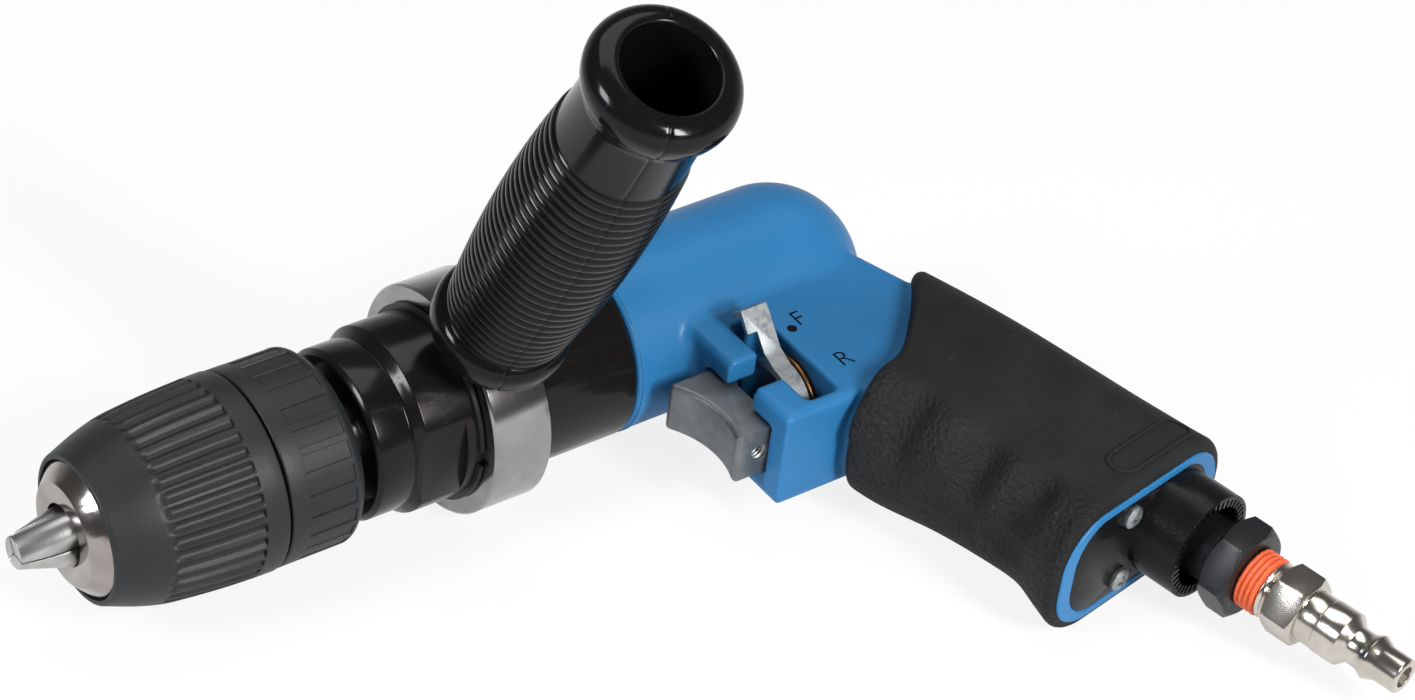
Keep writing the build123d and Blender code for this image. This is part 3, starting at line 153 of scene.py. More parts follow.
def along_spindle(node):
    """First and last station along the spindle and the outer radius of a turned node."""
    low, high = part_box(node)
    return low.x / MM, high.x / MM, (high.y - low.y) / 2 / MM


# Sizes and colours that a user would change

def length(name, value, text):
    """A length whose default is given in millimetres."""
    return FloatProperty(name=name, description=text, default=value * MM, unit="LENGTH", precision=5)


def colour(name, value, text):
    """A linear colour."""
    return FloatVectorProperty(name=name, description=text, default=value, subtype="COLOR", min=0.0, max=1.0)


def count(name, value, text):
    """A whole number of things."""
    return IntProperty(name=name, description=text, default=value, min=1)


def angle(name, value, text):
    """An angle whose default is given in degrees."""
    return FloatProperty(name=name, description=text, default=math.radians(value), subtype="ANGLE")


FRONT_SLEEVE = along_spindle("front_sleeve")
REAR_SLEEVE = along_spindle("rear_sleeve")


class ChuckSizes(bpy.types.PropertyGroup):
    """Sizes of the keyless chuck."""
    mouth: length("Mouth", 2.9, "Station of the front sleeve's mouth")
    front_radius: length("Front radius", 15.5, "Radius of the front sleeve's cone at the front end")
    mouth_radius: length("Mouth radius", 14.95, "Bore of the front sleeve at its mouth")
    shoulder: length("Shoulder", 13.0, "Station of the shoulder behind the smooth cone")
    shoulder_radius: length("Shoulder radius", 19.8, "Radius of the front sleeve at its shoulder")
    shoulder_round: length("Shoulder rounding", 1.2, "Height over which the cone blends into the fluted part")
    crown: length("Crown", 0.45, "Swell of the fluted part over a plain cone")
    wall: length("Wall", 2.4, "Wall of the front sleeve")
    taper_from: length("Taper start", 10.0, "Station where the front sleeve's bore begins to widen")
    taper_to: length("Taper end", 18.0, "Station where the front sleeve's bore has its full width")
    edge: length("Edge rounding", 0.5, "Rounding of the sleeves' outer edges")
    lip: length("Lip rounding", 0.1, "Rounding of the front sleeve's inner edges")
    flutes: count("Flutes", 40, "Number of finger flutes")
    flute_from: length("Flute start", 13.2, "Station where the flutes begin")
    flute_to: length("Flute end", 34.4, "Station where the flutes end")
    flute_radius: length("Flute radius", 1.3, "Radius of a flute's section")
    flute_depth: length("Flute depth", 0.9, "Depth of a flute")
    scoop: length("Scoop", 2.6, "Length of a flute's run-out at its front")
    rear_wall: length("Rear wall", 5.4, "Wall of the rear sleeve")
    chamfer: length("Rear chamfer", 2.2, "Chamfer of the rear sleeve")
    chamfer_round: length("Chamfer rounding", 0.6, "Rounding of the chamfer's outer edge")
    rear_round: length("Rear rounding", 0.4, "Rounding of the chamfer's edge on the rear face")
    panels: count("Panels", 26, "Number of panels on the rear sleeve")
    panel_from: length("Panel start", 44.5, "Station where the panels begin")
    panel_to: length("Panel end", 55.6, "Station where the panels end")
    panel_depth: length("Panel depth", 0.32, "Depth of a panel")


class HandleSizes(bpy.types.PropertyGroup):
    """Sizes of the side handle, along its own axis."""
    base: length("Base", 26.5, "Height of the handle's base over the spindle")
    face_radius: length("Face radius", 12.0, "Radius of the flat face under the base bead")
    face_step: length("Face step", 0.3, "Rounding of that face's edge and step to the base bead")
    base_radius: length("Base radius", 15.0, "Radius of the base bead")
    base_width: length("Base width", 8.0, "Width of the base bead")
    base_round: length("Base rounding", 3.0, "Rounding of the base bead's lower edge")
    base_top_round: length("Base top rounding", 2.2, "Rounding of the base bead's upper edge")
    fillet: length("Fillet", 0.4, "Fillet between the base bead and the ribs")
    rib_gap: length("Rib gap", 0.6, "Plain stretch beside the first and the last rib")
    ribs: count("Ribs", 27, "Number of fine ribs")
    rib_from: length("Rib start", 36.0, "Height where the ribs begin")
    rib_to: length("Rib end", 106.0, "Height where the ribs end")
    rib_depth: length("Rib depth", 0.8, "Depth of the valley between ribs")
    low_radius: length("Lower radius", 13.5, "Radius over the ribs at their lower end")
    bulge_radius: length("Bulge radius", 15.5, "Radius over the ribs at mid-length")
    high_radius: length("Upper radius", 14.2, "Radius over the ribs at their upper end")
    neck_radius: length("Neck radius", 13.6, "Radius of the smooth neck")
    neck_edge: length("Neck edge", 0.3, "Rounding of the neck's edge beside the ribs")
    neck_taper: length("Neck taper", 0.5, "How much the neck narrows towards the flange")
    neck_round: length("Neck rounding", 1.8, "Rounding of the hollow between the neck and the flange")
    slope_from: length("Slope start", 1.5, "Length of the flange's slope on the neck")
    slope_to: length("Slope end", 1.6, "Length of the flange's slope on the flange")
    flange_radius: length("Flange radius", 15.8, "Radius of the end flange")
    flange_width: length("Flange width", 9.6, "Width of the end flange")
    flange_round: length("Flange rounding", 3.2, "Rounding of the flange's lower edge")
    crown_drop: length("Crown drop", 2.6, "Height of the rolled crown over the flange's widest part")
    crown_width: length("Crown width", 2.4, "Distance of the crown's top from the hole")
    crown_outer: length("Crown's outer rounding", 2.1, "Rounding outside the crown")
    crown_inner: length("Crown's top rounding", 1.8, "Rounding on the crown")
    rim_width: length("Rim width", 0.3, "Width of the fine rim round the hole")
    rim_top: length("Rim top", 0.2, "Depth under the end and rounding of the fine rim's upper edge")
    rim_foot: length("Rim foot", 0.6, "Depth of the fine rim's lower edge under the end")
    rim_foot_round: length("Rim foot rounding", 0.15, "Rounding of the fine rim's lower edge")
    end: length("End", 132.6, "Height of the open end over the spindle")
    hole_radius: length("Hole radius", 10.0, "Radius of the hollow")
    hole_depth: length("Hole depth", 88.0, "Depth of the hollow")
    hole_round: length("Hole rounding", 1.0, "Rounding at the bottom of the hollow")
    stud_radius: length("Stud radius", 4.0, "Radius of the moulded-in stud")
    seam: length("Seam", 0.16, "Depth of the mould's parting line")
    seam_bearing: angle("Seam bearing", 60.0, "Bearing of the parting line round the handle")


class CastingSizes(bpy.types.PropertyGroup):
    """Sizes of the painted casting's finish."""
    grain: length("Grain", 0.69, "Size of the mesh's cells")
    smoothing: count("Smoothing", 2, "Rounds of smoothing that soften the cast edges")
    bead_from: length("Bead start", 1.0, "Distance of the fine bead from the barrel's front rim")
    bead_width: length("Bead width", 1.1, "Width of the fine bead")
    bead_height: length("Bead height", 0.16, "Height of the fine bead")
    bead_root: length("Bead root", 1.0, "Depth of the fine bead's foot in the barrel")
    flank: length("Flank", 12.2, "Height of the valve block's flat flank over the mid-plane")
    letter: length("Letter", 6.6, "Type size of the direction letters")
    thinning: length("Letter thinning", 0.13, "How much each side of a letter's stroke is thinned")
    mark: length("Mark", 1.1, "Radius of the dot beside the forward letter")
    mark_depth: length("Mark depth", 0.24, "Thickness of the letters and the dot")


class TriggerSizes(bpy.types.PropertyGroup):
    """Sizes of the trigger's edges, of the room round it and of its threaded hole."""
    edge: length("Edge rounding", 0.2, "Rounding of the trigger's edges")
    room: length("Room", 0.2, "Least room between the trigger and the casting")
    hole_radius: length("Hole radius", 2.05, "Radius of the threaded hole")
    hole_depth: length("Hole depth", 7.0, "Depth of the threaded hole")
    thread_pitch: length("Thread pitch", 0.8, "Pitch of the thread")
    thread_depth: length("Thread depth", 0.42, "Depth of the thread")
    thread_room: length("Thread room", 0.03, "Distance of the thread's wall from the hole's")
    thread_root: length("Thread root", 0.05, "Step between two turns of the thread")
    thread_round: length("Thread rounding", 0.08, "Rounding of the thread's crests")


class SealantSizes(bpy.types.PropertyGroup):
    """Sizes of the sealed thread, along the air inlet."""
    start: length("Start", 131.4, "Station where the sealed thread begins")
    end: length("End", 136.4, "Station where the sealed thread ends")
    bore: length("Bore", 5.9, "Radius inside the sealant")
    radius: length("Radius", 6.75, "Radius over the sealed ridges")
    depth: length("Depth", 0.5, "Depth between the ridges")
    ridges: count("Ridges", 4, "Number of ridges that show")
    ridge_gap: length("Ridge gap", 0.02, "Half the distance between two ridges")
    ridge_round: length("Ridge rounding", 0.12, "Rounding of the ridges")


class GripSizes(bpy.types.PropertyGroup):
    """Sizes of the rubber grip, along the air inlet."""
    end: length("End", 108.0, "Station of the grip's end")
    thickness: length("Thickness", 2.75, "Thickness of the rubber")
    corner: length("Corner", 14.0, "Corner radius of the grip's section")
    top_round: length("Top rounding", 1.9, "Rounding of the rubber's upper edge")
    end_round: length("End rounding", 2.5, "Rounding of the rubber's lower edge")
    rim_depth: length("Rim depth", 4.8, "Distance of the painted rim's inner edge from the rubber's flanks")
    rim_spread: length("Rim spread", 2.0, "How much wider the painted rim is at the grip's front and back")
    rim_top: length("Rim top", 0.5, "Height of the painted rim over the grip's end")
    rim_height: length("Rim height", 4.0, "How far the painted rim reaches into the grip")
    rim_edge: length("Rim edge", 0.35, "Chamfer of the painted rim's edges")
    finger_width: length("Finger valley", 5.0, "Half width of a valley between the finger swells")
    finger_depth: length("Finger depth", 4.2, "Depth of the valleys under the crests of the finger swells")
    finger_swell: length("Finger swell", 1.8, "Height of the finger swells over the plain surface")
    finger_top: length("Finger top", 22.0, "Distance in front of the inlet axis where the valleys begin")
    finger_fade: length("Finger fade", 6.0, "Length over which a valley reaches its depth")
    swell_from: length("Swell start", 44.0, "Station where the finger swells begin")
    swell_rise: length("Swell rise", 9.0, "Length over which the swells rise")
    swell_fall: length("Swell fall", 8.0, "Length over which the swells fall")
    swell_end: length("Swell end", 3.0, "Distance of the swells' end from the grip's end")
    badge: length("Badge", 101.6, "Station of the raised outline near the grip's end")
    badge_length: length("Badge length", 25.0, "Length of the raised outline")
    badge_width: length("Badge width", 7.6, "Width of the raised outline")
    badge_line: length("Badge line", 0.9, "Width of the raised outline's line")
    badge_ahead: length("Badge ahead", 1.6, "Distance of the outline's middle in front of the inlet axis")
    badge_height: length("Badge height", 0.45, "Height of the raised outline over the rubber")
    badge_foot: length("Badge foot", 0.25, "Depth of the raised outline's foot in the rubber")
    badge_round: length("Badge rounding", 0.2, "Rounding of the raised outline's edges")


class EdgeSizes(bpy.types.PropertyGroup):
    """Roundings of the edges of machined, pressed and moulded pieces."""
    core: length("Chuck core", 0.3, "Rounding of the plated core's edges")
    jaw: length("Jaws", 0.22, "Rounding of the jaws' edges")
    case: length("Gear case", 0.35, "Rounding of the gear case's edges")
    ring: length("Handle ring", 0.35, "Rounding of the handle ring's edges")
    washer: length("Washer", 0.25, "Rounding of the washer's edges")
    lever: length("Lever", 0.12, "Rounding of the reverse lever's edges")
    bush: length("Bush", 0.15, "Rounding of the bronze bush's edges")
    cover: length("End cover", 0.15, "Rounding of the end cover's edges")
    screw: length("Screws", 0.12, "Rounding of the screws' edges")
    bushing: length("Inlet bushing", 0.3, "Rounding of the inlet bushing's edges")
    plug: length("Air plug", 0.22, "Rounding of the air plug's edges")


class StageSizes(bpy.types.PropertyGroup):
    """Camera and floor."""
    azimuth: angle("Azimuth", -41.0, "Camera's bearing round the tool")
    elevation: angle("Elevation", 38.7, "Camera's height over the tool's mid-plane")
    roll: angle("Roll", 7.8, "Camera's roll about its own axis")
    lens: FloatProperty(name="Lens", description="Focal length", default=101.77, unit="CAMERA")
    camera: FloatVectorProperty(
        name="Camera", description="Camera's place in the tool frame", subtype="TRANSLATION", unit="LENGTH",
        default=(-0.2933, -0.5233, 0.5396),
    )
    floor_radius: length("Floor radius", 4000.0, "Radius of the floor")


class Colours(bpy.types.PropertyGroup):
    """Colours of the finishes."""
    blue: colour("Blue enamel", (0.022, 0.152, 0.345), "Paint of the casting")
    rubber: colour("Rubber", (0.0150, 0.0153, 0.0158), "Grip rubber")
    case: colour("Case black", (0.0058, 0.0051, 0.0049), "Gear case")
    handle: colour("Handle black", (0.0045, 0.0045, 0.0047), "Side handle")
    chuck: colour("Chuck charcoal", (0.0148, 0.0160, 0.0172), "Chuck sleeves")
    # The plate colour is darker than plated nickel's own: painted shade standing in for darker surroundings
    # in its reflections
    plate: colour("Bright plate", (0.37, 0.335, 0.315), "Plated nose of the chuck")
    jaw: colour("Jaw steel", (0.50, 0.49, 0.475), "Ground jaws")
    ring: colour("Ring steel", (0.35, 0.34, 0.335), "Handle ring")
    zinc: colour("Zinc plate", (0.345, 0.365, 0.375), "Lever, screws and washer")
    cast: colour("Cast zinc", (0.175, 0.185, 0.190), "Trigger")
    bronze: colour("Bronze", (0.26, 0.125, 0.055), "Thrust bush")
    nickel: colour("Nickel", (0.60, 0.56, 0.50), "Air plug")
    sealant: colour("Sealant", (0.70, 0.105, 0.028), "Thread sealant")
    oxide: colour("Black oxide", (0.010, 0.0105, 0.012), "Inlet bushing")
    cover: colour("Cover black", (0.006, 0.0062, 0.0068), "End cover")
    felt: colour("Felt", (0.020, 0.018, 0.016), "Felt pieces")
    board: colour("Vane board", (0.18, 0.10, 0.05), "Rotor vanes")
    iron: colour("Motor iron", (0.16, 0.16, 0.16), "Motor plates")
    steel: colour("Inner steel", (0.38, 0.38, 0.39), "Shafts and bearings")


class AirDrill(bpy.types.PropertyGroup):
    """Everything that can be set."""
    chuck: PointerProperty(type=ChuckSizes)
    handle: PointerProperty(type=HandleSizes)
    casting: PointerProperty(type=CastingSizes)
    trigger: PointerProperty(type=TriggerSizes)
    sealant: PointerProperty(type=SealantSizes)
    grip: PointerProperty(type=GripSizes)
    edges: PointerProperty(type=EdgeSizes)
    stage: PointerProperty(type=StageSizes)
    colours: PointerProperty(type=Colours)


def settings():
    return bpy.context.scene.air_drill


def millimetres(group):
    """The values of a group of sizes, with its lengths in millimetres."""
    values = {}
    for prop in group.bl_rna.properties:
        if prop.identifier in ("rna_type", "name"):
            continue
        value = getattr(group, prop.identifier)
        values[prop.identifier] = value / MM if getattr(prop, "unit", "") == "LENGTH" else value
    return SimpleNamespace(**values)


# Shader maths

def maths(operation, reflected=False):
    """An arithmetic method that adds a Math node."""
    def method(self, other):
        first, second = (other, self) if reflected else (self, other)
        return self.look.node("ShaderNodeMath", {"operation": operation}, {0: first, 1: second})
    return method


class Signal:
    """An output of a material's nodes; arithmetic on it adds Math nodes."""
    __add__ = maths("ADD")
    __radd__ = maths("ADD", reflected=True)
    __mul__ = maths("MULTIPLY")
    __rmul__ = maths("MULTIPLY", reflected=True)

    def __init__(self, look, socket):
        self.look = look
        self.socket = socket


class Shading:
    """A node tree under construction, of a material or of the world."""

    def __init__(self, tree):
        self.tree = tree
        tree.nodes.clear()

    def set_socket(self, socket, value):
        if isinstance(value, Signal):
            self.tree.links.new(value.socket, socket)
        elif isinstance(value, tuple) and socket.type == "RGBA":
            socket.default_value = (*value, 1.0)
        else:
            socket.default_value = value

    def node(self, kind, options=None, inputs=None, output=0):
        """A node of any type: its options are set first, then the values or links of its sockets."""
        made = self.tree.nodes.new(kind)
        for key, value in (options or {}).items():
            if key == "stops":
                for element, (place, level) in zip(made.color_ramp.elements, value):
                    element.position = place
                    element.color = (level, level, level, 1.0)
            else:
                setattr(made, key, value)
        for key, value in (inputs or {}).items():
            self.set_socket(made.inputs[key], value)
        return None if output is None else Signal(self, made.outputs[output])

    def ramp(self, value, first, last):
        """Straight ramp between two (place, level) stops."""
        return self.node("ShaderNodeValToRGB", {"stops": (first, last)}, {"Fac": value})

    def axis(self, vector, letter):
        return self.node("ShaderNodeSeparateXYZ", {}, {"Vector": vector}, output=letter)


class Look(Shading):
    """A procedural material with one Principled shader."""

    def __init__(self, name):
        self.material = bpy.data.materials.new(name)
        self.material.use_nodes = True
        super().__init__(self.material.node_tree)
        self.shader = self.tree.nodes.new("ShaderNodeBsdfPrincipled")
        self.output = self.tree.nodes.new("ShaderNodeOutputMaterial")
        self.tree.links.new(self.shader.outputs["BSDF"], self.output.inputs["Surface"])

    def place(self, scale=(1, 1, 1)):
        """Object coordinates through a Mapping node."""
        coords = self.node("ShaderNodeTexCoord", output="Object")
        return self.node("ShaderNodeMapping", {"vector_type": "TEXTURE"}, {"Vector": coords, "Scale": scale})

    def noise(self, size, detail, stretch=(1, 1, 1)):
        """Noise whose cells are about the given size in metres."""
        place = self.place(scale=stretch)
        return self.node("ShaderNodeTexNoise", {}, {"Vector": place, "Scale": 1.0 / size, "Detail": detail})

    def cells(self, size, output):
        """Voronoi cells of about the given size in metres."""
        return self.node(
            "ShaderNodeTexVoronoi", {}, {"Vector": self.place(), "Scale": 1.0 / size}, output=output,
        )

    def mix(self, factor, first, second):
        """Blend of two colours."""
        made = self.node("ShaderNodeMix", {"data_type": "RGBA"}, {"Factor": factor}, output=2)
        inputs = made.socket.node.inputs
        self.set_socket(inputs[6], first)
        self.set_socket(inputs[7], second)
        return made

    def clouded(self, base, signal, dark, light, start=0.3, full=0.7):
        """A colour that varies between two shades of itself as a signal goes from start to full."""
        share = self.ramp(signal, (start, 0.0), (full, 1.0))
        return self.mix(share, shade(base, dark), shade(base, light))

    def bump(self, height, depth, strength=1.0):
        """Normal of a height field whose full height is the given depth in metres."""
        return self.node("ShaderNodeBump", {}, {"Height": height, "Distance": depth, "Strength": strength})

    def finish(self, **sockets):
        for key, value in sockets.items():
            self.set_socket(self.shader.inputs[key.replace("_", " ").title().replace("Ior", "IOR")], value)
        return self.material


def shade(base, factor):
    """A colour made darker or lighter by a factor."""
    return tuple(min(1.0, channel * factor) for channel in base)


# Finishes

WHITE = (1.0, 1.0, 1.0)
WARM = (1.0, 0.94, 0.91)
COOL = (0.90, 0.94, 1.0)


def enamel_finish(base):
    """Semi-gloss enamel over a casting, with faint orange peel and flow marks."""
    look = Look("blue_enamel")
    flow = look.noise(0.030, detail=2.0)
    speck = look.noise(0.0011, detail=2.0)
    tint = look.clouded(base, flow, dark=0.93, light=1.07, start=0.35)
    peel = look.noise(0.0022, detail=1.0)
    return look.finish(
        base_color=tint, roughness=0.40 + 0.08 * speck, specular_ior_level=0.18, coat_weight=0.06,
        coat_roughness=0.16, normal=look.bump(peel + 0.3 * speck, 0.00004),
    )


def rubber_finish(base):
    """Matte rubber: a fine grain all over, and a leather-like one where the fingers lie."""
    look = Look("grip_rubber")
    fingers = look.node("ShaderNodeAttribute", {"attribute_name": FINGER_ZONE}, output="Fac")
    leather = look.cells(0.0011, "Distance")
    crease = look.noise(0.0015, detail=3.0)
    fine = look.noise(0.00042, detail=2.0)
    broad = look.noise(0.012, detail=2.0)
    dust = look.ramp(look.noise(0.0009, detail=0.0), (0.83, 0.0), (0.87, 1.0))
    tint = look.clouded(base, broad, dark=0.85, light=1.2)
    tint = look.mix(0.3 * dust, tint, shade(base, 7.0))
    height = 0.12 * fine + (0.06 + 0.94 * fingers) * (0.5 * leather + 0.5 * crease)
    return look.finish(
        base_color=tint, roughness=0.56 + 0.14 * fine, specular_ior_level=0.12,
        normal=look.bump(height, 0.0012, 0.9),
    )


def gloss_black_finish(name, base, polish, scuff, shine, glint=WHITE):
    """Glossy black with faint scuffs that catch the light, and the colour of its reflections."""
    look = Look(name)
    scuffs = look.ramp(look.noise(0.004, detail=6.0, stretch=(1.0, 0.12, 1.0)), (0.55, 0.0), (0.8, 1.0))
    soft = look.noise(0.015, detail=2.0)
    return look.finish(
        base_color=look.mix(0.35 * scuffs, base, shade(base, 2.2)), specular_ior_level=shine,
        specular_tint=glint, roughness=polish + scuff * scuffs + 0.05 * soft,
        normal=look.bump(soft, 0.00003),
    )


def moulded_finish(name, base, rough, grain, shine):
    """Matte moulded plastic with a spark-eroded grain."""
    look = Look(name)
    fine = look.noise(grain, detail=2.0)
    broad = look.noise(0.010, detail=2.0)
    tint = look.clouded(base, broad, dark=0.9, light=1.12)
    return look.finish(
        base_color=tint, roughness=rough + 0.1 * fine, specular_ior_level=shine,
        normal=look.bump(fine, grain * 0.12, 0.7),
    )


def steel_finish(name, base, rough, lines, line_size=0.0004, stain=0.2):
    """Turned or ground metal, with fine lines square to the spindle and faint stains."""
    look = Look(name)
    turned_lines = look.noise(line_size, detail=2.0, stretch=(1.0, 60.0, 60.0))
    clouds = look.noise(0.006, detail=3.0)
    tint = look.clouded(base, clouds, dark=1.0, light=1.0 - stain, start=0.35, full=0.75)
    return look.finish(
        base_color=tint, metallic=1.0, roughness=rough + 0.12 * clouds * turned_lines,
        normal=look.bump(turned_lines, line_size * lines),
    )


def spangle_finish(base):
    """Bright zinc plate with a faint crystal mottle."""
    look = Look("zinc_plate")
    mottle = look.axis(look.cells(0.0009, "Color"), "X")
    fine = look.noise(0.0004, detail=2.0)
    return look.finish(
        base_color=look.mix(mottle, shade(base, 0.82), shade(base, 1.1)), metallic=1.0,
        roughness=0.46 + 0.16 * mottle, normal=look.bump(fine, 0.00002),
    )


def die_cast_finish(base):
    """Satin die-cast zinc with a dull speckle."""
    look = Look("cast_zinc")
    speckle = look.noise(0.0006, detail=3.0)
    clouds = look.noise(0.005, detail=3.0)
    tint = look.clouded(base, clouds, dark=0.85, light=1.2, start=0.35)
    return look.finish(
        base_color=tint, metallic=0.85, roughness=0.40 + 0.14 * speckle, normal=look.bump(speckle, 0.00006),
    )


def dull_finish(name, base, rough, grain):
    """Plain dry surface such as felt, laminate or paste."""
    look = Look(name)
    fibre = look.noise(grain, detail=4.0)
    tint = look.mix(fibre, shade(base, 0.7), shade(base, 1.25))
    return look.finish(base_color=tint, roughness=rough, normal=look.bump(fibre, grain * 0.3))


def make_finishes():
    """All materials by the record's slot names."""
    tint = {key: tuple(getattr(settings().colours, key)) for key in Colours.__annotations__}
    return {
        "blue_paint": enamel_finish(tint["blue"]),
        "grip_rubber": rubber_finish(tint["rubber"]),
        "case_black": gloss_black_finish(
            "case_black", tint["case"], polish=0.15, scuff=0.05, shine=0.22, glint=WARM,
        ),
        "ring_steel": steel_finish("ring_steel", tint["ring"], rough=0.13, lines=0.02),
        "handle_plastic": gloss_black_finish(
            "handle_plastic", tint["handle"], polish=0.11, scuff=0.08, shine=0.18,
        ),
        "chuck_plastic": moulded_finish("chuck_plastic", tint["chuck"], rough=0.42, grain=0.0005, shine=0.28),
        "chuck_plate": steel_finish("chuck_plate", tint["plate"], rough=0.12, lines=0.01),
        "jaw_steel": steel_finish(
            "jaw_steel", tint["jaw"], rough=0.30, lines=0.05, line_size=0.0003, stain=0.35,
        ),
        "zinc_plate": spangle_finish(tint["zinc"]),
        "cast_zinc": die_cast_finish(tint["cast"]),
        "bronze": steel_finish("bronze", tint["bronze"], rough=0.30, lines=0.03),
        "plug_nickel": steel_finish("plug_nickel", tint["nickel"], rough=0.16, lines=0.015),
        "sealant": dull_finish("sealant", tint["sealant"], rough=0.55, grain=0.0012),
        "black_oxide": gloss_black_finish("black_oxide", tint["oxide"], polish=0.30, scuff=0.12, shine=0.3),
        "cover_plastic": moulded_finish("cover_plastic", tint["cover"], rough=0.16, grain=0.0006, shine=0.13),
        "felt": dull_finish("felt", tint["felt"], rough=0.9, grain=0.0008),
        "vane_board": dull_finish("vane_board", tint["board"], rough=0.6, grain=0.0008),
        "motor_iron": steel_finish("motor_iron", tint["iron"], rough=0.45, lines=0.05),
        "inner_steel": steel_finish("inner_steel", tint["steel"], rough=0.25, lines=0.03),
    }


FINISHES = {}


def finish_of(slot):
    if not FINISHES:
        FINISHES.update(make_finishes())
    return FINISHES[slot]


# Mesh helpers

def clean(bm):
    """Merges seams and poles and points the faces outwards."""
    bmesh.ops.remove_doubles(bm, verts=bm.verts, dist=WELD)
    bmesh.ops.dissolve_degenerate(bm, edges=bm.edges, dist=WELD)
    bmesh.ops.recalc_face_normals(bm, faces=bm.faces)
    return bm


def profile(bm, points):
    """Closed wire in the XZ plane through (radius, height, rounding) points."""
    verts = [bm.verts.new((radius, 0.0, height)) for radius, height, _ in points]
    for pair in zip(verts, verts[1:] + verts[:1]):
        bm.edges.new(pair)
    for size in sorted({rounding for _, _, rounding in points if rounding > 0}):
        corners = [vert for vert, point in zip(verts, points) if point[2] == size]
        bmesh.ops.bevel(
            bm, geom=corners, offset=size, offset_type="OFFSET", segments=ROUND_SEGMENTS, profile=0.5,
            affect="VERTICES", material=-1,
        )


def turned(points, steps):
    """Solid of revolution about Z from (radius, height, rounding) points."""
    bm = bmesh.new()
    profile(bm, points)
    bmesh.ops.spin(
        bm, geom=bm.verts[:] + bm.edges[:], cent=(0, 0, 0), axis=(0, 0, 1), angle=FULL_TURN, steps=steps,
        use_merge=True,
    )
    return clean(bm)


def smooth_step(value):
    value = min(1.0, max(0.0, value))
    return value * value * (3 - 2 * value)


FLAT = math.radians(0.6)
SQUARE = math.radians(60.0)


def sharp_edges(bm, limit):
    """Edges that turn by more than a limit."""
    return [edge for edge in bm.edges if edge.is_manifold and edge.calc_face_angle(0.0) > limit]


def round_edges(bm, edges, size, segments=2):
    bmesh.ops.bevel(
        bm, geom=edges, offset=size, offset_type="OFFSET", segments=segments, profile=0.5, affect="EDGES",
        material=-1, clamp_overlap=True,
    )


def copy_of(node):
    """A merged copy of a CAD node's mesh, in the tool frame."""
    bm = bmesh.new()
    bm.from_mesh(frame["nodes"][node].data)
    bmesh.ops.transform(bm, matrix=TOOL_INVERSE, verts=bm.verts)
    bmesh.ops.remove_doubles(bm, verts=bm.verts, dist=WELD)
    return bm


def softened(node, size, limit=28.0, segments=2):
    """A merged copy of a CAD node with its flat faces joined and its sharp edges rounded."""
    bm = copy_of(node)
    bmesh.ops.dissolve_limit(bm, angle_limit=FLAT, verts=bm.verts, edges=bm.edges)
    round_edges(bm, sharp_edges(bm, math.radians(limit)), size, segments)
    return bm


def add_piece(name, bm, place, slot, body, replaced=(), crease=32.0):
    """Puts a mesh in its place as a finished piece that rides on a body."""
    bmesh.ops.transform(bm, matrix=place, verts=bm.verts)
    mesh = bpy.data.meshes.new(name)
    bm.to_mesh(mesh)
    bm.free()
    mesh.shade_smooth()
    mesh.set_sharp_from_angle(angle=math.radians(crease))
    piece = bpy.data.objects.new(name, mesh)
    bpy.context.scene.collection.objects.link(piece)
    mesh.materials.append(finish_of(slot))
    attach(piece, body)
    if replaced:
        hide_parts(*replaced)
    return piece


def rounded_node(name, node, size, slot, body, crease=35.0, **rounding):
    """A CAD node with rounded edges, as a finished piece in the node's place."""
    add_piece(name, softened(node, size, **rounding), TOOL, slot, body, (node,), crease)


# Chuck

def sleeve_radius(size, x):
    """Outer radius of the front sleeve: a cone that blends into the swelled fluted part at the shoulder."""
    x0, x1, radius = FRONT_SLEEVE
    share = (x - size.shoulder) / (x1 - size.shoulder)
    swell = 4 * size.crown * share * (1 - share)
    body = size.shoulder_radius + (radius - size.shoulder_radius) * share + swell
    cone_share = (x - x0) / (size.shoulder - x0)
    cone = size.front_radius + (size.shoulder_radius - size.front_radius) * cone_share
    blend = min(1.0, max(0.0, 0.5 + 0.5 * (body - cone) / size.shoulder_round))
    return body + (cone - body) * blend - size.shoulder_round * blend * (1 - blend)


def front_sleeve():
    """Fluted sleeve: smooth cone, rounded shoulder and scooped flutes with square back ends."""
    size = millimetres(settings().chuck)
    _, x1, radius = FRONT_SLEEVE
    columns = 12
    rows = 48
    step = 0.25
    outer_band = 2.0
    start = size.mouth + 4 * step
    stations = [start + (size.flute_to - 2 * step - start) * i / rows for i in range(rows + 1)]
    stations += [size.flute_to - step, size.flute_to, size.flute_to + step, (size.flute_to + x1) / 2]
    outline = [
        (size.mouth_radius, size.mouth, size.lip), (sleeve_radius(size, size.mouth), size.mouth, size.edge),
    ]
    outline += [(sleeve_radius(size, x), x, 0.0) for x in stations]
    outline += [
        (radius, x1, size.edge), (radius - size.wall, x1, size.lip), (radius - size.wall, size.taper_to, 0.0),
        (size.mouth_radius, size.taper_from, 0.0),
    ]
    bm = turned(outline, size.flutes * columns)
    pitch = FULL_TURN / size.flutes
    for vert in bm.verts:
        around = math.atan2(vert.co.y, vert.co.x)
        distance = vert.co.xy.length
        if distance < size.shoulder_radius - outer_band or vert.co.z > size.flute_to - step / 2:
            continue
        across = (around / pitch - round(around / pitch)) * pitch * distance
        section = math.sqrt(max(0.0, size.flute_radius ** 2 - across ** 2))
        groove = section - (size.flute_radius - size.flute_depth)
        depth = max(0.0, groove * smooth_step((vert.co.z - size.flute_from) / size.scoop))
        vert.co.xy *= (distance - depth) / distance
    add_piece(
        "fluted_sleeve", bm, SPINDLE, "chuck_plastic", "chuck_sleeve", ("front_sleeve",), crease=40.0,
    )


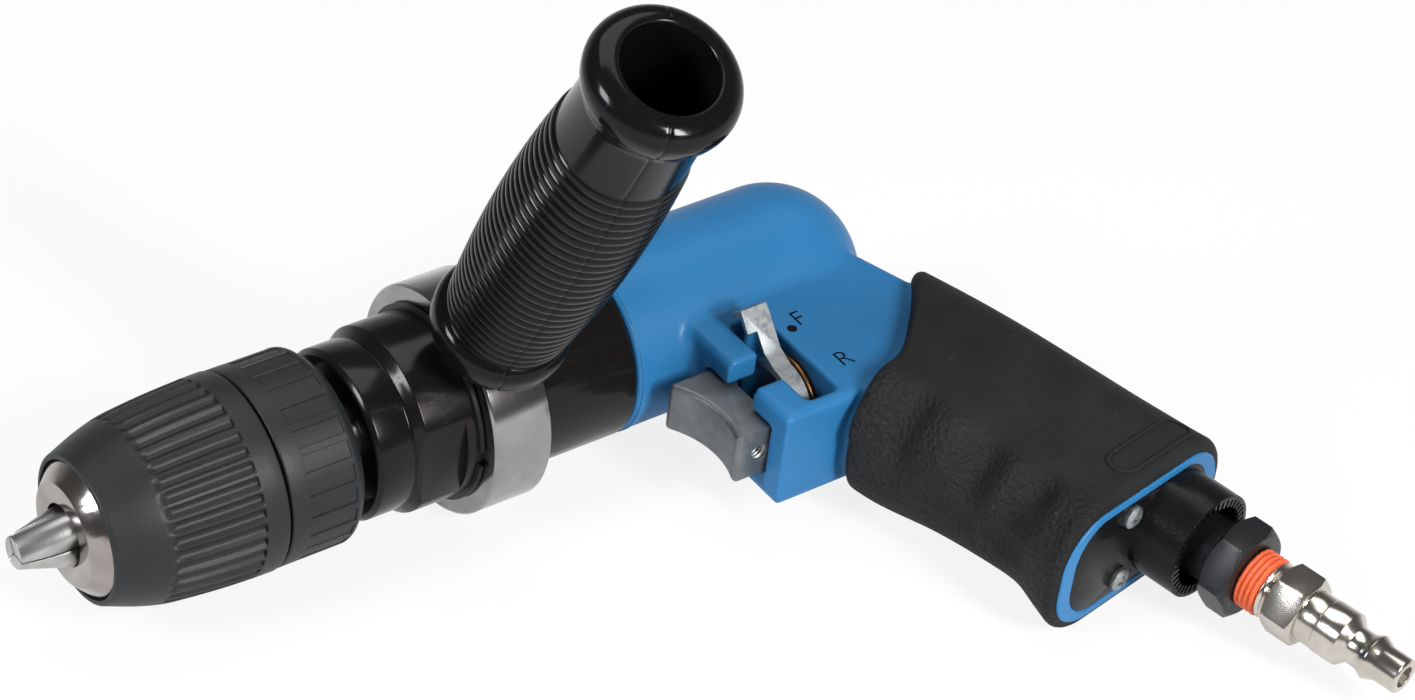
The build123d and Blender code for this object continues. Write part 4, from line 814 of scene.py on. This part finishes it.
def rear_sleeve():
    """Panelled sleeve: each panel is sunk a little, with a crisp step all round."""
    size = millimetres(settings().chuck)
    x0, x1, radius = REAR_SLEEVE
    step = 0.15
    bore = radius - size.rear_wall
    middle = (size.panel_from + size.panel_to) / 2
    stations = (size.panel_from, size.panel_from + step, middle, size.panel_to - step, size.panel_to)
    outline = [(bore, x0, 0.0), (radius, x0, size.edge)]
    outline += [(radius, x, 0.0) for x in stations]
    outline += [
        (radius, x1 - size.chamfer, size.chamfer_round), (radius - size.chamfer, x1, size.rear_round),
        (bore, x1, 0.0),
    ]
    columns = (0.0, 0.025, 0.2, 0.37, 0.54, 0.715, 0.74, 0.87)
    sunk_columns = range(1, 6)
    bm = turned(outline, size.panels * len(columns))
    pitch = FULL_TURN / size.panels
    for vert in bm.verts:
        slot = round(math.atan2(vert.co.y, vert.co.x) % FULL_TURN / pitch * len(columns))
        panel, column = divmod(slot, len(columns))
        around = (panel + columns[column]) * pitch
        distance = vert.co.xy.length
        sunk = size.panel_from + step / 2 < vert.co.z < size.panel_to - step / 2 and column in sunk_columns
        if sunk and distance > radius - size.panel_depth:
            distance -= size.panel_depth
        vert.co.xy = (distance * math.cos(around), distance * math.sin(around))
    add_piece(
        "panelled_sleeve", bm, SPINDLE, "chuck_plastic", "chuck", ("rear_sleeve",), crease=30.0,
    )


def core_and_jaws():
    """Plated core of the chuck and its three ground jaws."""
    edges = millimetres(settings().edges)
    rounded_node("plated_core", "chuck_body", edges.core, "chuck_plate", "chuck")
    for jaw in ("jaw_1", "jaw_2", "jaw_3"):
        rounded_node(f"ground_{jaw}", jaw, edges.jaw, "jaw_steel", jaw)


# Gear case and handle ring

def case_and_ring():
    """Black gear case, polished ring round it and the washer under the side handle."""
    edges = millimetres(settings().edges)
    rounded_node("black_case", "gear_case", edges.case, "case_black", "housing", segments=3)
    rounded_node("polished_ring", "handle_ring", edges.ring, "ring_steel", "handle_ring", segments=3)
    rounded_node("seat_washer", "handle_washer", edges.washer, "zinc_plate", "handle_washer")


# Side handle

# Places of a rib's points along its pitch
RIB_SHARES = (0.02, 0.09, 0.2, 0.35, 0.5, 0.65, 0.8, 0.91, 0.98)


def rib_radius(size, z):
    """Crest radius of the ribbed barrel at a height."""
    share = (z - size.rib_from) / (size.rib_to - size.rib_from)
    straight = size.low_radius + (size.high_radius - size.low_radius) * share
    middle = (size.low_radius + size.high_radius) / 2
    return straight + (size.bulge_radius - middle) * 4 * share * (1 - share)


def side_handle():
    """Hollow handle with fine rounded ribs, a bead at the base and a rolled flange at the open end."""
    size = millimetres(settings().handle)
    step = (size.rib_to - size.rib_from) / size.ribs
    base_top = size.base + size.base_width
    outline = [
        (size.stud_radius, size.base, 0.0), (size.face_radius, size.base, size.face_step),
        (size.base_radius, size.base + size.face_step, size.base_round),
        (size.base_radius, base_top - size.face_step, size.base_top_round),
        (size.low_radius - size.rib_depth, base_top + size.rib_gap, size.fillet),
    ]
    for rib in range(size.ribs):
        low = size.rib_from + step * rib
        for share in RIB_SHARES:
            z = low + step * share
            crest = math.sqrt(1 - (2 * share - 1) ** 2)
            outline.append((rib_radius(size, z) - size.rib_depth * (1 - crest), z, 0.0))
    flange = size.end - size.flange_width
    bottom = size.end - size.hole_depth
    outline += [
        (size.neck_radius, size.rib_to + size.rib_gap, size.neck_edge),
        (size.neck_radius - size.neck_taper, flange - size.slope_from, size.neck_round),
        (size.flange_radius, flange + size.slope_to, size.flange_round),
        (size.flange_radius, size.end - size.crown_drop, size.crown_outer),
        (size.hole_radius + size.crown_width, size.end, size.crown_inner),
        (size.hole_radius + size.rim_width, size.end - size.rim_top, size.rim_top),
        (size.hole_radius, size.end - size.rim_foot, size.rim_foot_round),
        (size.hole_radius, bottom, size.hole_round), (size.stud_radius, bottom, 0.0),
    ]
    steps = 192
    pinch = 0.6
    bm = turned(outline, steps)
    column = FULL_TURN / steps
    seams = (size.seam_bearing - math.pi, size.seam_bearing)
    for vert in bm.verts:
        distance = vert.co.xy.length
        if distance < (size.hole_radius + size.face_radius) / 2:
            continue
        around = math.atan2(vert.co.y, vert.co.x)
        for seam in seams:
            offset = (around - seam + math.pi) % FULL_TURN - math.pi
            if abs(offset) < 0.5 * column:
                vert.co.xy *= (distance - size.seam) / distance
            elif abs(offset) < 1.5 * column:
                around -= math.copysign(pinch * column, offset)
                vert.co.xy = (distance * math.cos(around), distance * math.sin(around))
    add_piece(
        "ribbed_handle", bm, HANDLE, "handle_plastic", "side_handle", ("handle_grip",), crease=60.0,
    )


# Casting

# Places of the direction letters and the dot on the valve block's flank, along the spindle and down the grip
LETTER_PLACES = {"F": (162.2, -27.4), "R": (162.6, -42.9)}
DOT_PLACE = (158.9, -29.4)


def rounded_cast(name, bm, grain, rounds):
    """Rebuilds a shape from small even cells and smooths it, as a cast and painted surface."""
    mesh = bpy.data.meshes.new(name)
    bm.to_mesh(mesh)
    bm.free()
    rough = bpy.data.objects.new(name, mesh)
    bpy.context.scene.collection.objects.link(rough)
    cells = rough.modifiers.new("cells", "REMESH")
    cells.mode = "VOXEL"
    cells.voxel_size = grain
    soft = rough.modifiers.new("soft", "SMOOTH")
    soft.factor = 0.5
    soft.iterations = rounds
    depsgraph = bpy.context.evaluated_depsgraph_get()
    result = bmesh.new()
    result.from_mesh(rough.evaluated_get(depsgraph).to_mesh())
    bpy.data.objects.remove(rough)
    bpy.data.meshes.remove(mesh)
    return result


def clear_pocket(bm):
    """Moves the walls of the trigger's pocket out of the room that its travel takes."""
    room = millimetres(settings().trigger).room
    reach_in_cells = 1.5
    reach = reach_in_cells * millimetres(settings().casting).grain
    moving = copy_of("trigger")
    low = [min(vert.co[k] for vert in moving.verts) - room for k in range(3)]
    high = [max(vert.co[k] for vert in moving.verts) + room for k in range(3)]
    moving.free()
    high[0] += TRIGGER_STROKE + room
    for vert in bm.verts:
        if not all(low[k] < vert.co[k] < high[k] for k in range(3)):
            continue
        walls = [(high[k] - vert.co[k], k, high[k]) for k in range(3)]
        walls += [(vert.co[k] - low[k], k, low[k]) for k in (1, 2)]
        for distance, k, wall in walls:
            if distance < reach:
                vert.co[k] = wall


def casting():
    """Painted casting: barrel, domed end, valve block and the core of the grip."""
    size = millimetres(settings().casting)
    bm = rounded_cast("rough_casting", copy_of("motor_housing"), size.grain, size.smoothing)
    clear_pocket(bm)
    add_piece("painted_casting", bm, TOOL, "blue_paint", "housing", ("motor_housing",), crease=60.0)


def rim_bead():
    """Fine bead round the barrel, close behind its front rim."""
    size = millimetres(settings().casting)
    low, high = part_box("motor_housing")
    x0 = low.x / MM + size.bead_from
    x1 = x0 + size.bead_width
    radius = high.y / MM
    crest = radius + size.bead_height
    root = radius - size.bead_root
    rounding = size.bead_height / 2
    outline = [(root, x0, 0.0), (crest, x0, rounding), (crest, x1, rounding), (root, x1, 0.0)]
    bm = turned(outline, steps=160)
    add_piece("rim_bead", bm, SPINDLE, "blue_paint", "housing")


def letter_mesh(body, size):
    """A flat letter as a thin solid, centred on its own middle."""
    text = bpy.data.curves.new("letter", "FONT")
    text.body = body
    text.size = size.letter
    text.offset = -size.thinning
    text.align_x = "CENTER"
    text.align_y = "CENTER"
    text.extrude = size.mark_depth / 2
    holder = bpy.data.objects.new("letter", text)
    bpy.context.scene.collection.objects.link(holder)
    depsgraph = bpy.context.evaluated_depsgraph_get()
    bm = bmesh.new()
    bm.from_mesh(holder.evaluated_get(depsgraph).to_mesh())
    bpy.data.objects.remove(holder)
    bpy.data.curves.remove(text)
    return bm


def direction_marks():
    """Letters for forward and reverse, and the dot beside the first, sunk and filled with black."""
    size = millimetres(settings().casting)
    marks = bmesh.new()
    for body, place in LETTER_PLACES.items():
        bm = letter_mesh(body, size)
        bmesh.ops.translate(bm, vec=(*place, size.flank), verts=bm.verts)
        spare = bpy.data.meshes.new("letter")
        bm.to_mesh(spare)
        bm.free()
        marks.from_mesh(spare)
        bpy.data.meshes.remove(spare)
    dot = bmesh.ops.create_cone(
        marks, cap_ends=True, segments=24, radius1=size.mark, radius2=size.mark, depth=size.mark_depth,
    )
    bmesh.ops.translate(marks, vec=(*DOT_PLACE, size.flank), verts=dot["verts"])
    add_piece("direction_marks", marks, TOOL, "case_black", "housing")


# Rubber grip

# Outer form of the rubber: station along the air inlet, front, back and half width there
GRIP_ROWS = [
    (14.0, -35.0, 12.4, 15.5),
    (40.0, -36.5, 15.0, 16.4),
    (56.0, -36.5, 16.0, 16.8),
    (72.0, -33.2, 16.6, 16.8),
    (86.0, -32.0, 17.2, 16.6),
    (94.0, -32.2, 17.6, 16.6),
    (101.0, -34.8, 18.0, 16.6),
    (108.0, -37.4, 18.4, 16.8),
]
FRONT, BACK, HALF_WIDTH = 1, 2, 3
# Upper edge of the rubber: distance along the spindle from the foot of the inlet axis, and height
RUBBER_EDGE = [
    (-42.0, -63.0), (-30.5, -57.2), (-19.4, -52.7), (-9.7, -49.2), (-0.1, -40.4), (11.1, -28.5),
    (18.9, -24.8), (29.0, -23.0),
]
EDGE_HEIGHT = 1
# Stations of the valleys, and sines of the bearings where they begin and are full, left and right
FINGER_VALLEYS = (60.5, 79.5, 93.5)
FLANK_FADES = ((-0.12, 0.24), (-0.84, -0.98))
FINGER_ZONE = "finger_zone"


def through(rows, x, column):
    """Smooth curve through rows of values, read at a place along their first column."""
    last = len(rows) - 2
    i = max(0, min(last, sum(1 for row in rows if row[0] <= x) - 1))
    x0, x1 = rows[i][0], rows[i + 1][0]
    y0, y1 = rows[i][column], rows[i + 1][column]
    before = rows[max(0, i - 1)]
    after = rows[min(len(rows) - 1, i + 2)]
    slope0 = (y1 - before[column]) / (x1 - before[0])
    slope1 = (after[column] - y0) / (after[0] - x0)
    if x < x0:
        return y0 + (x - x0) * slope0
    if x > x1:
        return y1 + (x - x1) * slope1
    span = x1 - x0
    share = (x - x0) / span
    near = 2 * share ** 3 - 3 * share ** 2 + 1
    lean0 = share ** 3 - 2 * share ** 2 + share
    lean1 = share ** 3 - share ** 2
    return near * y0 + lean0 * span * slope0 + (1 - near) * y1 + lean1 * span * slope1


def section_path(arc, side, end):
    """Round a rounded rectangle: the corner that a point belongs to and its outward bearing."""
    path = []
    corners = [(1, 1), (-1, 1), (-1, -1), (1, -1)]
    for quarter, (along, across) in enumerate(corners):
        start = quarter * math.pi / 2
        path += [(along, across, start + math.pi / 2 * i / arc) for i in range(arc + 1)]
        following = corners[(quarter + 1) % 4]
        flats = side if quarter % 2 == 0 else end
        for i in range(1, flats):
            share = i / flats
            path.append((
                along + (following[0] - along) * share, across + (following[1] - across) * share,
                start + math.pi / 2,
            ))
    return path


def grip_surface(size, station, along, across, bearing):
    """Point of the rubber's outer surface and its outward direction."""
    front = through(GRIP_ROWS, station, FRONT)
    back = through(GRIP_ROWS, station, BACK)
    half = through(GRIP_ROWS, station, HALF_WIDTH)
    normal = Vector((math.cos(bearing), math.sin(bearing), 0.0))
    x = (front + back) / 2 + along * ((back - front) / 2 - size.corner)
    y = across * (half - size.corner)
    return Vector((x, y, station)) + size.corner * normal, normal


def rubber_top(size, along, across, bearing):
    """Station where the rubber's upper edge crosses one line down the grip."""
    rounds = 12
    ease = 0.7
    station = GRIP_ROWS[1][0]
    for _ in range(rounds):
        point, _ = grip_surface(size, station, along, across, bearing)
        x = point.x * math.cos(RAKE) + station * math.sin(RAKE)
        y = through(RUBBER_EDGE, x, EDGE_HEIGHT)
        station += ease * ((point.x * math.sin(RAKE) - y) / math.cos(RAKE) - station)
    return station


def finger_zone(size, point):
    """How far a point lies in the part that the fingers hold."""
    return smooth_step((-size.finger_top - point.x) / size.finger_fade)


def side_share(bearing):
    """Share of a valley's depth round the front corners; on the right side the valleys stop sooner."""
    side = math.sin(bearing)
    return sum(smooth_step((side - start) / (full - start)) for start, full in FLANK_FADES)


def finger_relief(size, station):
    """Depth under the plain surface: the valleys lie below it and the swells between them stand over it."""
    distance = min(abs(station - place) for place in FINGER_VALLEYS)
    valley = math.exp(-(distance / size.finger_width) ** 2)
    rise = smooth_step((station - size.swell_from) / size.swell_rise)
    fall = smooth_step((size.end - size.swell_end - station) / size.swell_fall)
    return size.finger_depth * valley - size.finger_swell * rise * fall


def rubber_loop(size):
    """Round the rubber's wall: share of its length, offset from there and depth under the outer surface."""
    wall_rows = 72
    inner_rows = 14
    arc_rows = 6
    bends = [math.pi / 2 * i / arc_rows for i in range(arc_rows + 1)]
    top = size.top_round
    end = size.end_round
    loop = [(0.0, 0.0, size.thickness)]
    loop += [(0.0, top * (1 - math.cos(bend)), top * (1 - math.sin(bend))) for bend in bends]
    for i in range(1, wall_rows):
        share = i / wall_rows
        loop.append((share, top - (top + end) * share, 0.0))
    loop += [(1.0, end * (math.sin(bend) - 1), end * (1 - math.cos(bend))) for bend in bends]
    loop += [(1 - i / inner_rows, 0.0, size.thickness) for i in range(inner_rows + 1)]
    return loop


def grip_rubber():
    """Rubber sleeve with an S-shaped upper edge, valleys between the fingers and rounded lips."""
    size = millimetres(settings().grip)
    path = section_path(arc=12, side=26, end=4)
    loop = rubber_loop(size)
    bm = bmesh.new()
    zone_layer = bm.verts.layers.float.new(FINGER_ZONE)
    bmesh.ops.create_grid(bm, x_segments=len(path), y_segments=len(loop) - 1, size=0.5)
    tops = [rubber_top(size, *column) for column in path]
    for vert in bm.verts:
        column = round((vert.co.x + 0.5) * len(path)) % len(path)
        share, offset, depth = loop[round((vert.co.y + 0.5) * (len(loop) - 1))]
        station = tops[column] + (size.end - tops[column]) * share + offset
        point, normal = grip_surface(size, station, *path[column])
        zone = finger_zone(size, point)
        relief = zone * side_share(path[column][2]) * finger_relief(size, station)
        vert.co = point - normal * (depth + relief * (1 - depth / size.thickness))
        vert[zone_layer] = zone
    clean(bm)
    add_piece("rubber_grip", bm, INLET, "grip_rubber", "housing", ("grip_sleeve",), crease=60.0)


def grip_rim():
    """Painted rim of the casting that shows between the rubber and the end cover."""
    size = millimetres(settings().grip)
    path = section_path(arc=12, side=8, end=4)
    edge = size.rim_edge
    low = size.end - size.rim_height
    top = size.end + size.rim_top
    loop = [(low, 0, 0), (top - edge, 0, 0), (top, 0, edge), (top, 1, -edge), (top - edge, 1, 0), (low, 1, 0)]
    bm = bmesh.new()
    bmesh.ops.create_grid(bm, x_segments=len(path), y_segments=len(loop), size=0.5)
    for vert in bm.verts:
        column = round((vert.co.x + 0.5) * len(path)) % len(path)
        station, inner, offset = loop[round((vert.co.y + 0.5) * len(loop)) % len(loop)]
        point, normal = grip_surface(size, min(station, size.end), *path[column])
        point.z = station
        width = size.rim_depth + size.rim_spread * abs(normal.x) - size.thickness
        vert.co = point - normal * (size.thickness + inner * width + offset)
    clean(bm)
    add_piece("grip_rim", bm, INLET, "blue_paint", "housing", crease=35.0)


def badge_outline():
    """Raised long round-ended outline on the rubber's flank, bare inside."""
    size = millimetres(settings().grip)
    width = size.badge_width / 2
    reach = size.badge_length / 2 - width
    arc_steps = 8
    arc = [math.pi * (i / arc_steps - 0.5) for i in range(arc_steps + 1)]
    bm = bmesh.new()
    for radius in (width, width - size.badge_line):
        ring = [
            (end * (reach + radius * math.cos(turn)), end * radius * math.sin(turn))
            for end in (1, -1) for turn in arc
        ]
        verts = [bm.verts.new((along - size.badge_ahead, 0.0, across)) for along, across in ring]
        for pair in zip(verts, verts[1:] + verts[:1]):
            bm.edges.new(pair)
    long_sides = [edge for edge in bm.edges if edge.calc_length() > reach]
    bmesh.ops.subdivide_edges(bm, edges=long_sides, cuts=11)
    bmesh.ops.bridge_loops(bm, edges=bm.edges[:])
    bmesh.ops.recalc_face_normals(bm, faces=bm.faces)
    made = bmesh.ops.extrude_face_region(bm, geom=bm.faces[:])
    lifted = [item for item in made["geom"] if isinstance(item, bmesh.types.BMVert)]
    bmesh.ops.translate(bm, vec=(0, size.badge_height + size.badge_foot, 0), verts=lifted)
    bmesh.ops.recalc_face_normals(bm, faces=bm.faces)
    round_edges(bm, sharp_edges(bm, SQUARE), size.badge_round)
    for vert in bm.verts:
        station = size.badge + vert.co.z
        back = through(GRIP_ROWS, station, BACK)
        half = through(GRIP_ROWS, station, HALF_WIDTH)
        bend = max(0.0, vert.co.x - (back - size.corner))
        surface = half - size.corner + math.sqrt(size.corner ** 2 - bend ** 2)
        vert.co = (vert.co.x, surface - size.badge_foot + vert.co.y, station)
    add_piece("badge_outline", bm, INLET, "grip_rubber", "housing", crease=60.0)


# Trigger and reverse lever

# Where a thread's crest begins and ends, as shares of the pitch
THREAD_CREST = (0.45, 0.6)


def trigger_group():
    """Die-cast trigger and the bright thread in the hole of its lower end."""
    size = millimetres(settings().trigger)
    rounded_node("cast_trigger", "trigger", size.edge, "cast_zinc", "trigger", limit=50.0)
    turns = int(size.hole_depth / size.thread_pitch)
    low = -size.hole_depth / 2
    high = low + turns * size.thread_pitch
    wall = size.hole_radius - size.thread_room
    root = wall - size.thread_root
    crest = wall - size.thread_depth
    outline = [(wall, high, 0.0), (wall, low, 0.0)]
    for turn in range(turns):
        start = low + turn * size.thread_pitch
        outline.append((root, start + size.thread_root, 0.0))
        outline += [(crest, start + size.thread_pitch * share, size.thread_round) for share in THREAD_CREST]
    outline.append((root, high - size.thread_root, 0.0))
    bm = turned(outline, steps=64)
    add_piece("trigger_thread", bm, TRIGGER_HOLE, "zinc_plate", "trigger", crease=60.0)


def throttle_spring():
    """Coil spring behind the poppet, given a mesh of its own on the housing; the real spring shortens as the
    trigger is pulled.
    """
    bm = copy_of("throttle_spring")
    coil = add_piece("throttle_coil", bm, TOOL, "inner_steel", "housing", ("throttle_spring",), crease=40.0)
    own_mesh(coil)


def lever_group():
    """Pressed lever and the bronze bush behind it."""
    edges = millimetres(settings().edges)
    rounded_node("plated_lever", "reverse_lever", edges.lever, "zinc_plate", "reverser", crease=24.0)
    rounded_node("bronze_bush", "thrust_bush", edges.bush, "bronze", "housing")


# Air fittings

# Where a sealed ridge's crest begins and ends, as shares of the pitch
RIDGE_CREST = (0.35, 0.65)


def cover_and_fittings():
    """End cover, its screws, the hexagon bushing and the air plug."""
    edges = millimetres(settings().edges)
    rounded_node("louvred_cover", "exhaust_cover", edges.cover, "cover_plastic", "housing")
    rounded_node("cross_screws", "cover_screws", edges.screw, "zinc_plate", "housing")
    rounded_node("hexagon_bushing", "inlet_bushing", edges.bushing, "black_oxide", "housing")
    rounded_node("nickel_plug", "air_plug", edges.plug, "plug_nickel", "housing")


def sealed_thread():
    """Ridges of sealant on the plug's thread."""
    size = millimetres(settings().sealant)
    pitch = (size.end - size.start) / size.ridges
    valley = size.radius - size.depth
    outline = [(size.bore, size.start, 0.0)]
    for ridge in range(size.ridges):
        low = size.start + pitch * ridge
        outline.append((valley, low + size.ridge_gap, 0.0))
        outline += [(size.radius, low + pitch * share, size.ridge_round) for share in RIDGE_CREST]
        outline.append((valley, low + pitch - size.ridge_gap, 0.0))
    outline.append((size.bore, size.end, 0.0))
    bm = turned(outline, steps=96)
    add_piece("orange_sealant", bm, INLET, "sealant", "housing", ("thread_sealant",), crease=40.0)


# Nodes that keep their own mesh

def dress_nodes():
    """Gives each CAD node the finish of its slot."""
    for part in frame["record"]["subparts"]:
        mesh = frame["nodes"][part["node"]].data
        mesh.materials.clear()
        mesh.materials.append(finish_of(part["material_slot"]))


# Stage

# The point that the lights look at, how white the floor and sky are, and where the white sweep lies
TOOL_MIDDLE = (0.11, -0.05, 0.02)
WHITE_TO_CAMERA = 0.85
WHITE_IN_REFLECTIONS = 0.5
SKY_LEVEL = 0.12
HORIZON_LEVEL = 0.4
SWEEP_LEVEL = 0.4
SWEEP_X = 0.65
SWEEP_Y = 0.75


def floor_material():
    """White floor that keeps the shadow and is white to the camera and in reflections."""
    look = Look("white_floor")
    look.finish(base_color=(0.80, 0.80, 0.80), roughness=0.9, specular_ior_level=0.0)
    kinds = ("Is Camera Ray", "Is Glossy Ray", "Is Transmission Ray")
    camera, glossy, transmission = [look.node("ShaderNodeLightPath", output=kind) for kind in kinds]
    lit = Signal(look, look.shader.outputs["BSDF"])
    white = look.node("ShaderNodeEmission", {}, {"Color": WHITE, "Strength": 1.0})
    share = WHITE_TO_CAMERA * camera + WHITE_IN_REFLECTIONS * (glossy + transmission)
    mixed = look.node("ShaderNodeMixShader", {}, {0: share, 1: lit, 2: white})
    look.tree.links.new(mixed.socket, look.output.inputs["Surface"])
    return look.material


def world_light():
    """Dim studio sky with a white sweep low behind the tool."""
    world = bpy.data.worlds.new("studio")
    bpy.context.scene.world = world
    world.use_nodes = True
    sky = Shading(world.node_tree)
    direction = sky.node("ShaderNodeTexCoord", output="Generated")
    height = sky.axis(direction, "Z")
    behind = SWEEP_X * sky.axis(direction, "X") + SWEEP_Y * sky.axis(direction, "Y")
    horizon = sky.ramp(height, (0.0, 1.0), (0.04, 0.0))
    sweep = sky.ramp(height, (0.15, 1.0), (0.45, 0.0)) * sky.ramp(behind, (0.2, 0.0), (0.6, 1.0))
    level = SKY_LEVEL + HORIZON_LEVEL * horizon + SWEEP_LEVEL * sweep
    light = sky.node("ShaderNodeBackground", {}, {"Color": level, "Strength": 1.0})
    sky.node("ShaderNodeOutputWorld", {}, {"Surface": light}, output=None)


def soft_box(name, direction, distance, width, height, power, tint=WHITE):
    """Rectangular soft light that looks at the tool from a direction."""
    light = bpy.data.lights.new(name, "AREA")
    light.shape = "RECTANGLE"
    light.size = width
    light.size_y = height
    light.energy = power
    light.color = tint
    holder = bpy.data.objects.new(name, light)
    holder.visible_camera = False
    bpy.context.scene.collection.objects.link(holder)
    away = Vector(direction).normalized()
    place = Vector(TOOL_MIDDLE) + away * distance
    holder.matrix_world = Matrix.Translation(place) @ away.to_track_quat("Z", "Y").to_matrix().to_4x4()


def add_floor(radius):
    """Round floor under the tool's lowest point."""
    bm = bmesh.new()
    bmesh.ops.create_circle(bm, cap_ends=True, segments=96, radius=radius)
    bmesh.ops.translate(bm, vec=(0, 0, CAD_BOX[0][2]), verts=bm.verts)
    mesh = bpy.data.meshes.new("floor")
    bm.to_mesh(mesh)
    bm.free()
    floor = bpy.data.objects.new("floor", mesh)
    mesh.materials.append(floor_material())
    bpy.context.scene.collection.objects.link(floor)


def add_camera(size):
    """Camera at its place in the tool frame, aimed by bearing, height and roll."""
    camera = bpy.data.cameras.new("camera")
    camera.lens = size.lens
    camera.sensor_width = 36.0
    camera.sensor_fit = "HORIZONTAL"
    camera.clip_start = 0.01
    flat = math.cos(size.elevation)
    back = Vector((math.sin(size.azimuth) * flat, -math.cos(size.azimuth) * flat, math.sin(size.elevation)))
    right = Vector((0, 0, 1)).cross(back).normalized()
    rolled = Matrix.Rotation(size.roll, 3, back)
    holder = bpy.data.objects.new("camera", camera)
    bpy.context.scene.collection.objects.link(holder)
    lie = Matrix.Rotation(LIE, 4, "X")
    holder.matrix_world = lie @ axes(rolled @ right, rolled @ back.cross(right), back, size.camera)
    bpy.context.scene.camera = holder


def build_stage():
    """White floor, studio sky, soft boxes and the camera."""
    size = settings().stage
    add_floor(size.floor_radius)
    world_light()
    soft_box("left_box", (-0.85, 0.05, 0.53), distance=1.0, width=0.28, height=0.30, power=7.0, tint=COOL)
    soft_box("front_box", (0.1, -0.86, 0.52), distance=1.0, width=0.20, height=0.36, power=12.0)
    soft_box("overhead_box", (0.15, 0.25, 1.0), distance=1.3, width=1.1, height=0.8, power=6.5)
    add_camera(size)
    bpy.context.scene.view_settings.view_transform = "Standard"


# Operators

class DrillOperator:
    """Shared settings of the drill's operators."""
    bl_options = {"REGISTER", "UNDO"}


class DRILL_OT_stage(DrillOperator, bpy.types.Operator):
    """Adds the floor, the light and the camera"""
    bl_idname = "drill.stage"
    bl_label = "Stage"

    def execute(self, context):
        build_stage()
        return {"FINISHED"}


class DRILL_OT_nodes(DrillOperator, bpy.types.Operator):
    """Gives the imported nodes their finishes"""
    bl_idname = "drill.nodes"
    bl_label = "Inner pieces"

    def execute(self, context):
        dress_nodes()
        return {"FINISHED"}


class DRILL_OT_chuck(DrillOperator, bpy.types.Operator):
    """Adds the chuck's sleeves, plated core and jaws"""
    bl_idname = "drill.chuck"
    bl_label = "Chuck"

    def execute(self, context):
        front_sleeve()
        rear_sleeve()
        core_and_jaws()
        return {"FINISHED"}


class DRILL_OT_case(DrillOperator, bpy.types.Operator):
    """Adds the gear case, the handle's ring and the washer under the handle"""
    bl_idname = "drill.case"
    bl_label = "Gear case and ring"

    def execute(self, context):
        case_and_ring()
        return {"FINISHED"}


class DRILL_OT_handle(DrillOperator, bpy.types.Operator):
    """Adds the ribbed side handle"""
    bl_idname = "drill.handle"
    bl_label = "Side handle"

    def execute(self, context):
        side_handle()
        return {"FINISHED"}


class DRILL_OT_casting(DrillOperator, bpy.types.Operator):
    """Adds the painted casting, its fine bead and its direction marks"""
    bl_idname = "drill.casting"
    bl_label = "Casting"

    def execute(self, context):
        casting()
        rim_bead()
        direction_marks()
        return {"FINISHED"}


class DRILL_OT_grip(DrillOperator, bpy.types.Operator):
    """Adds the rubber grip, the raised outline on it and the painted rim"""
    bl_idname = "drill.grip"
    bl_label = "Rubber grip"

    def execute(self, context):
        grip_rubber()
        grip_rim()
        badge_outline()
        return {"FINISHED"}


class DRILL_OT_trigger(DrillOperator, bpy.types.Operator):
    """Adds the trigger, its thread and spring, the reverse lever and its bush"""
    bl_idname = "drill.trigger"
    bl_label = "Trigger and lever"

    def execute(self, context):
        trigger_group()
        throttle_spring()
        lever_group()
        return {"FINISHED"}


class DRILL_OT_fittings(DrillOperator, bpy.types.Operator):
    """Adds the end cover, its screws, the bushing, the plug and the sealed thread"""
    bl_idname = "drill.fittings"
    bl_label = "Cover and air fittings"

    def execute(self, context):
        cover_and_fittings()
        sealed_thread()
        return {"FINISHED"}


class DRILL_PT_panel(bpy.types.Panel):
    """Lists the drill's pieces and sizes"""
    bl_idname = "DRILL_PT_panel"
    bl_label = "Air drill"
    bl_space_type = "VIEW_3D"
    bl_region_type = "UI"
    bl_category = "Air drill"

    def draw(self, context):
        for operator in OPERATORS:
            self.layout.operator(operator.bl_idname)
        for key in AirDrill.__annotations__:
            group = getattr(context.scene.air_drill, key)
            box = self.layout.box()
            box.label(text=key.title())
            for name in group.__annotations__:
                box.prop(group, name)


GROUPS = (
    ChuckSizes, HandleSizes, CastingSizes, TriggerSizes, SealantSizes, GripSizes, EdgeSizes, StageSizes,
    Colours, AirDrill,
)
OPERATORS = (
    DRILL_OT_stage, DRILL_OT_nodes, DRILL_OT_chuck, DRILL_OT_case, DRILL_OT_handle, DRILL_OT_casting,
    DRILL_OT_grip, DRILL_OT_trigger, DRILL_OT_fittings,
)


def register():
    for cls in (*GROUPS, *OPERATORS, DRILL_PT_panel):
        bpy.utils.register_class(cls)
    bpy.types.Scene.air_drill = PointerProperty(type=AirDrill)


def unregister():
    del bpy.types.Scene.air_drill
    for cls in reversed((*GROUPS, *OPERATORS, DRILL_PT_panel)):
        bpy.utils.unregister_class(cls)


def main():
    register()
    bpy.ops.drill.stage()
    bpy.ops.drill.nodes()
    bpy.ops.drill.chuck()
    bpy.ops.drill.case()
    bpy.ops.drill.handle()
    bpy.ops.drill.casting()
    bpy.ops.drill.grip()
    bpy.ops.drill.trigger()
    bpy.ops.drill.fittings()


if __name__ == "__main__":
    main()
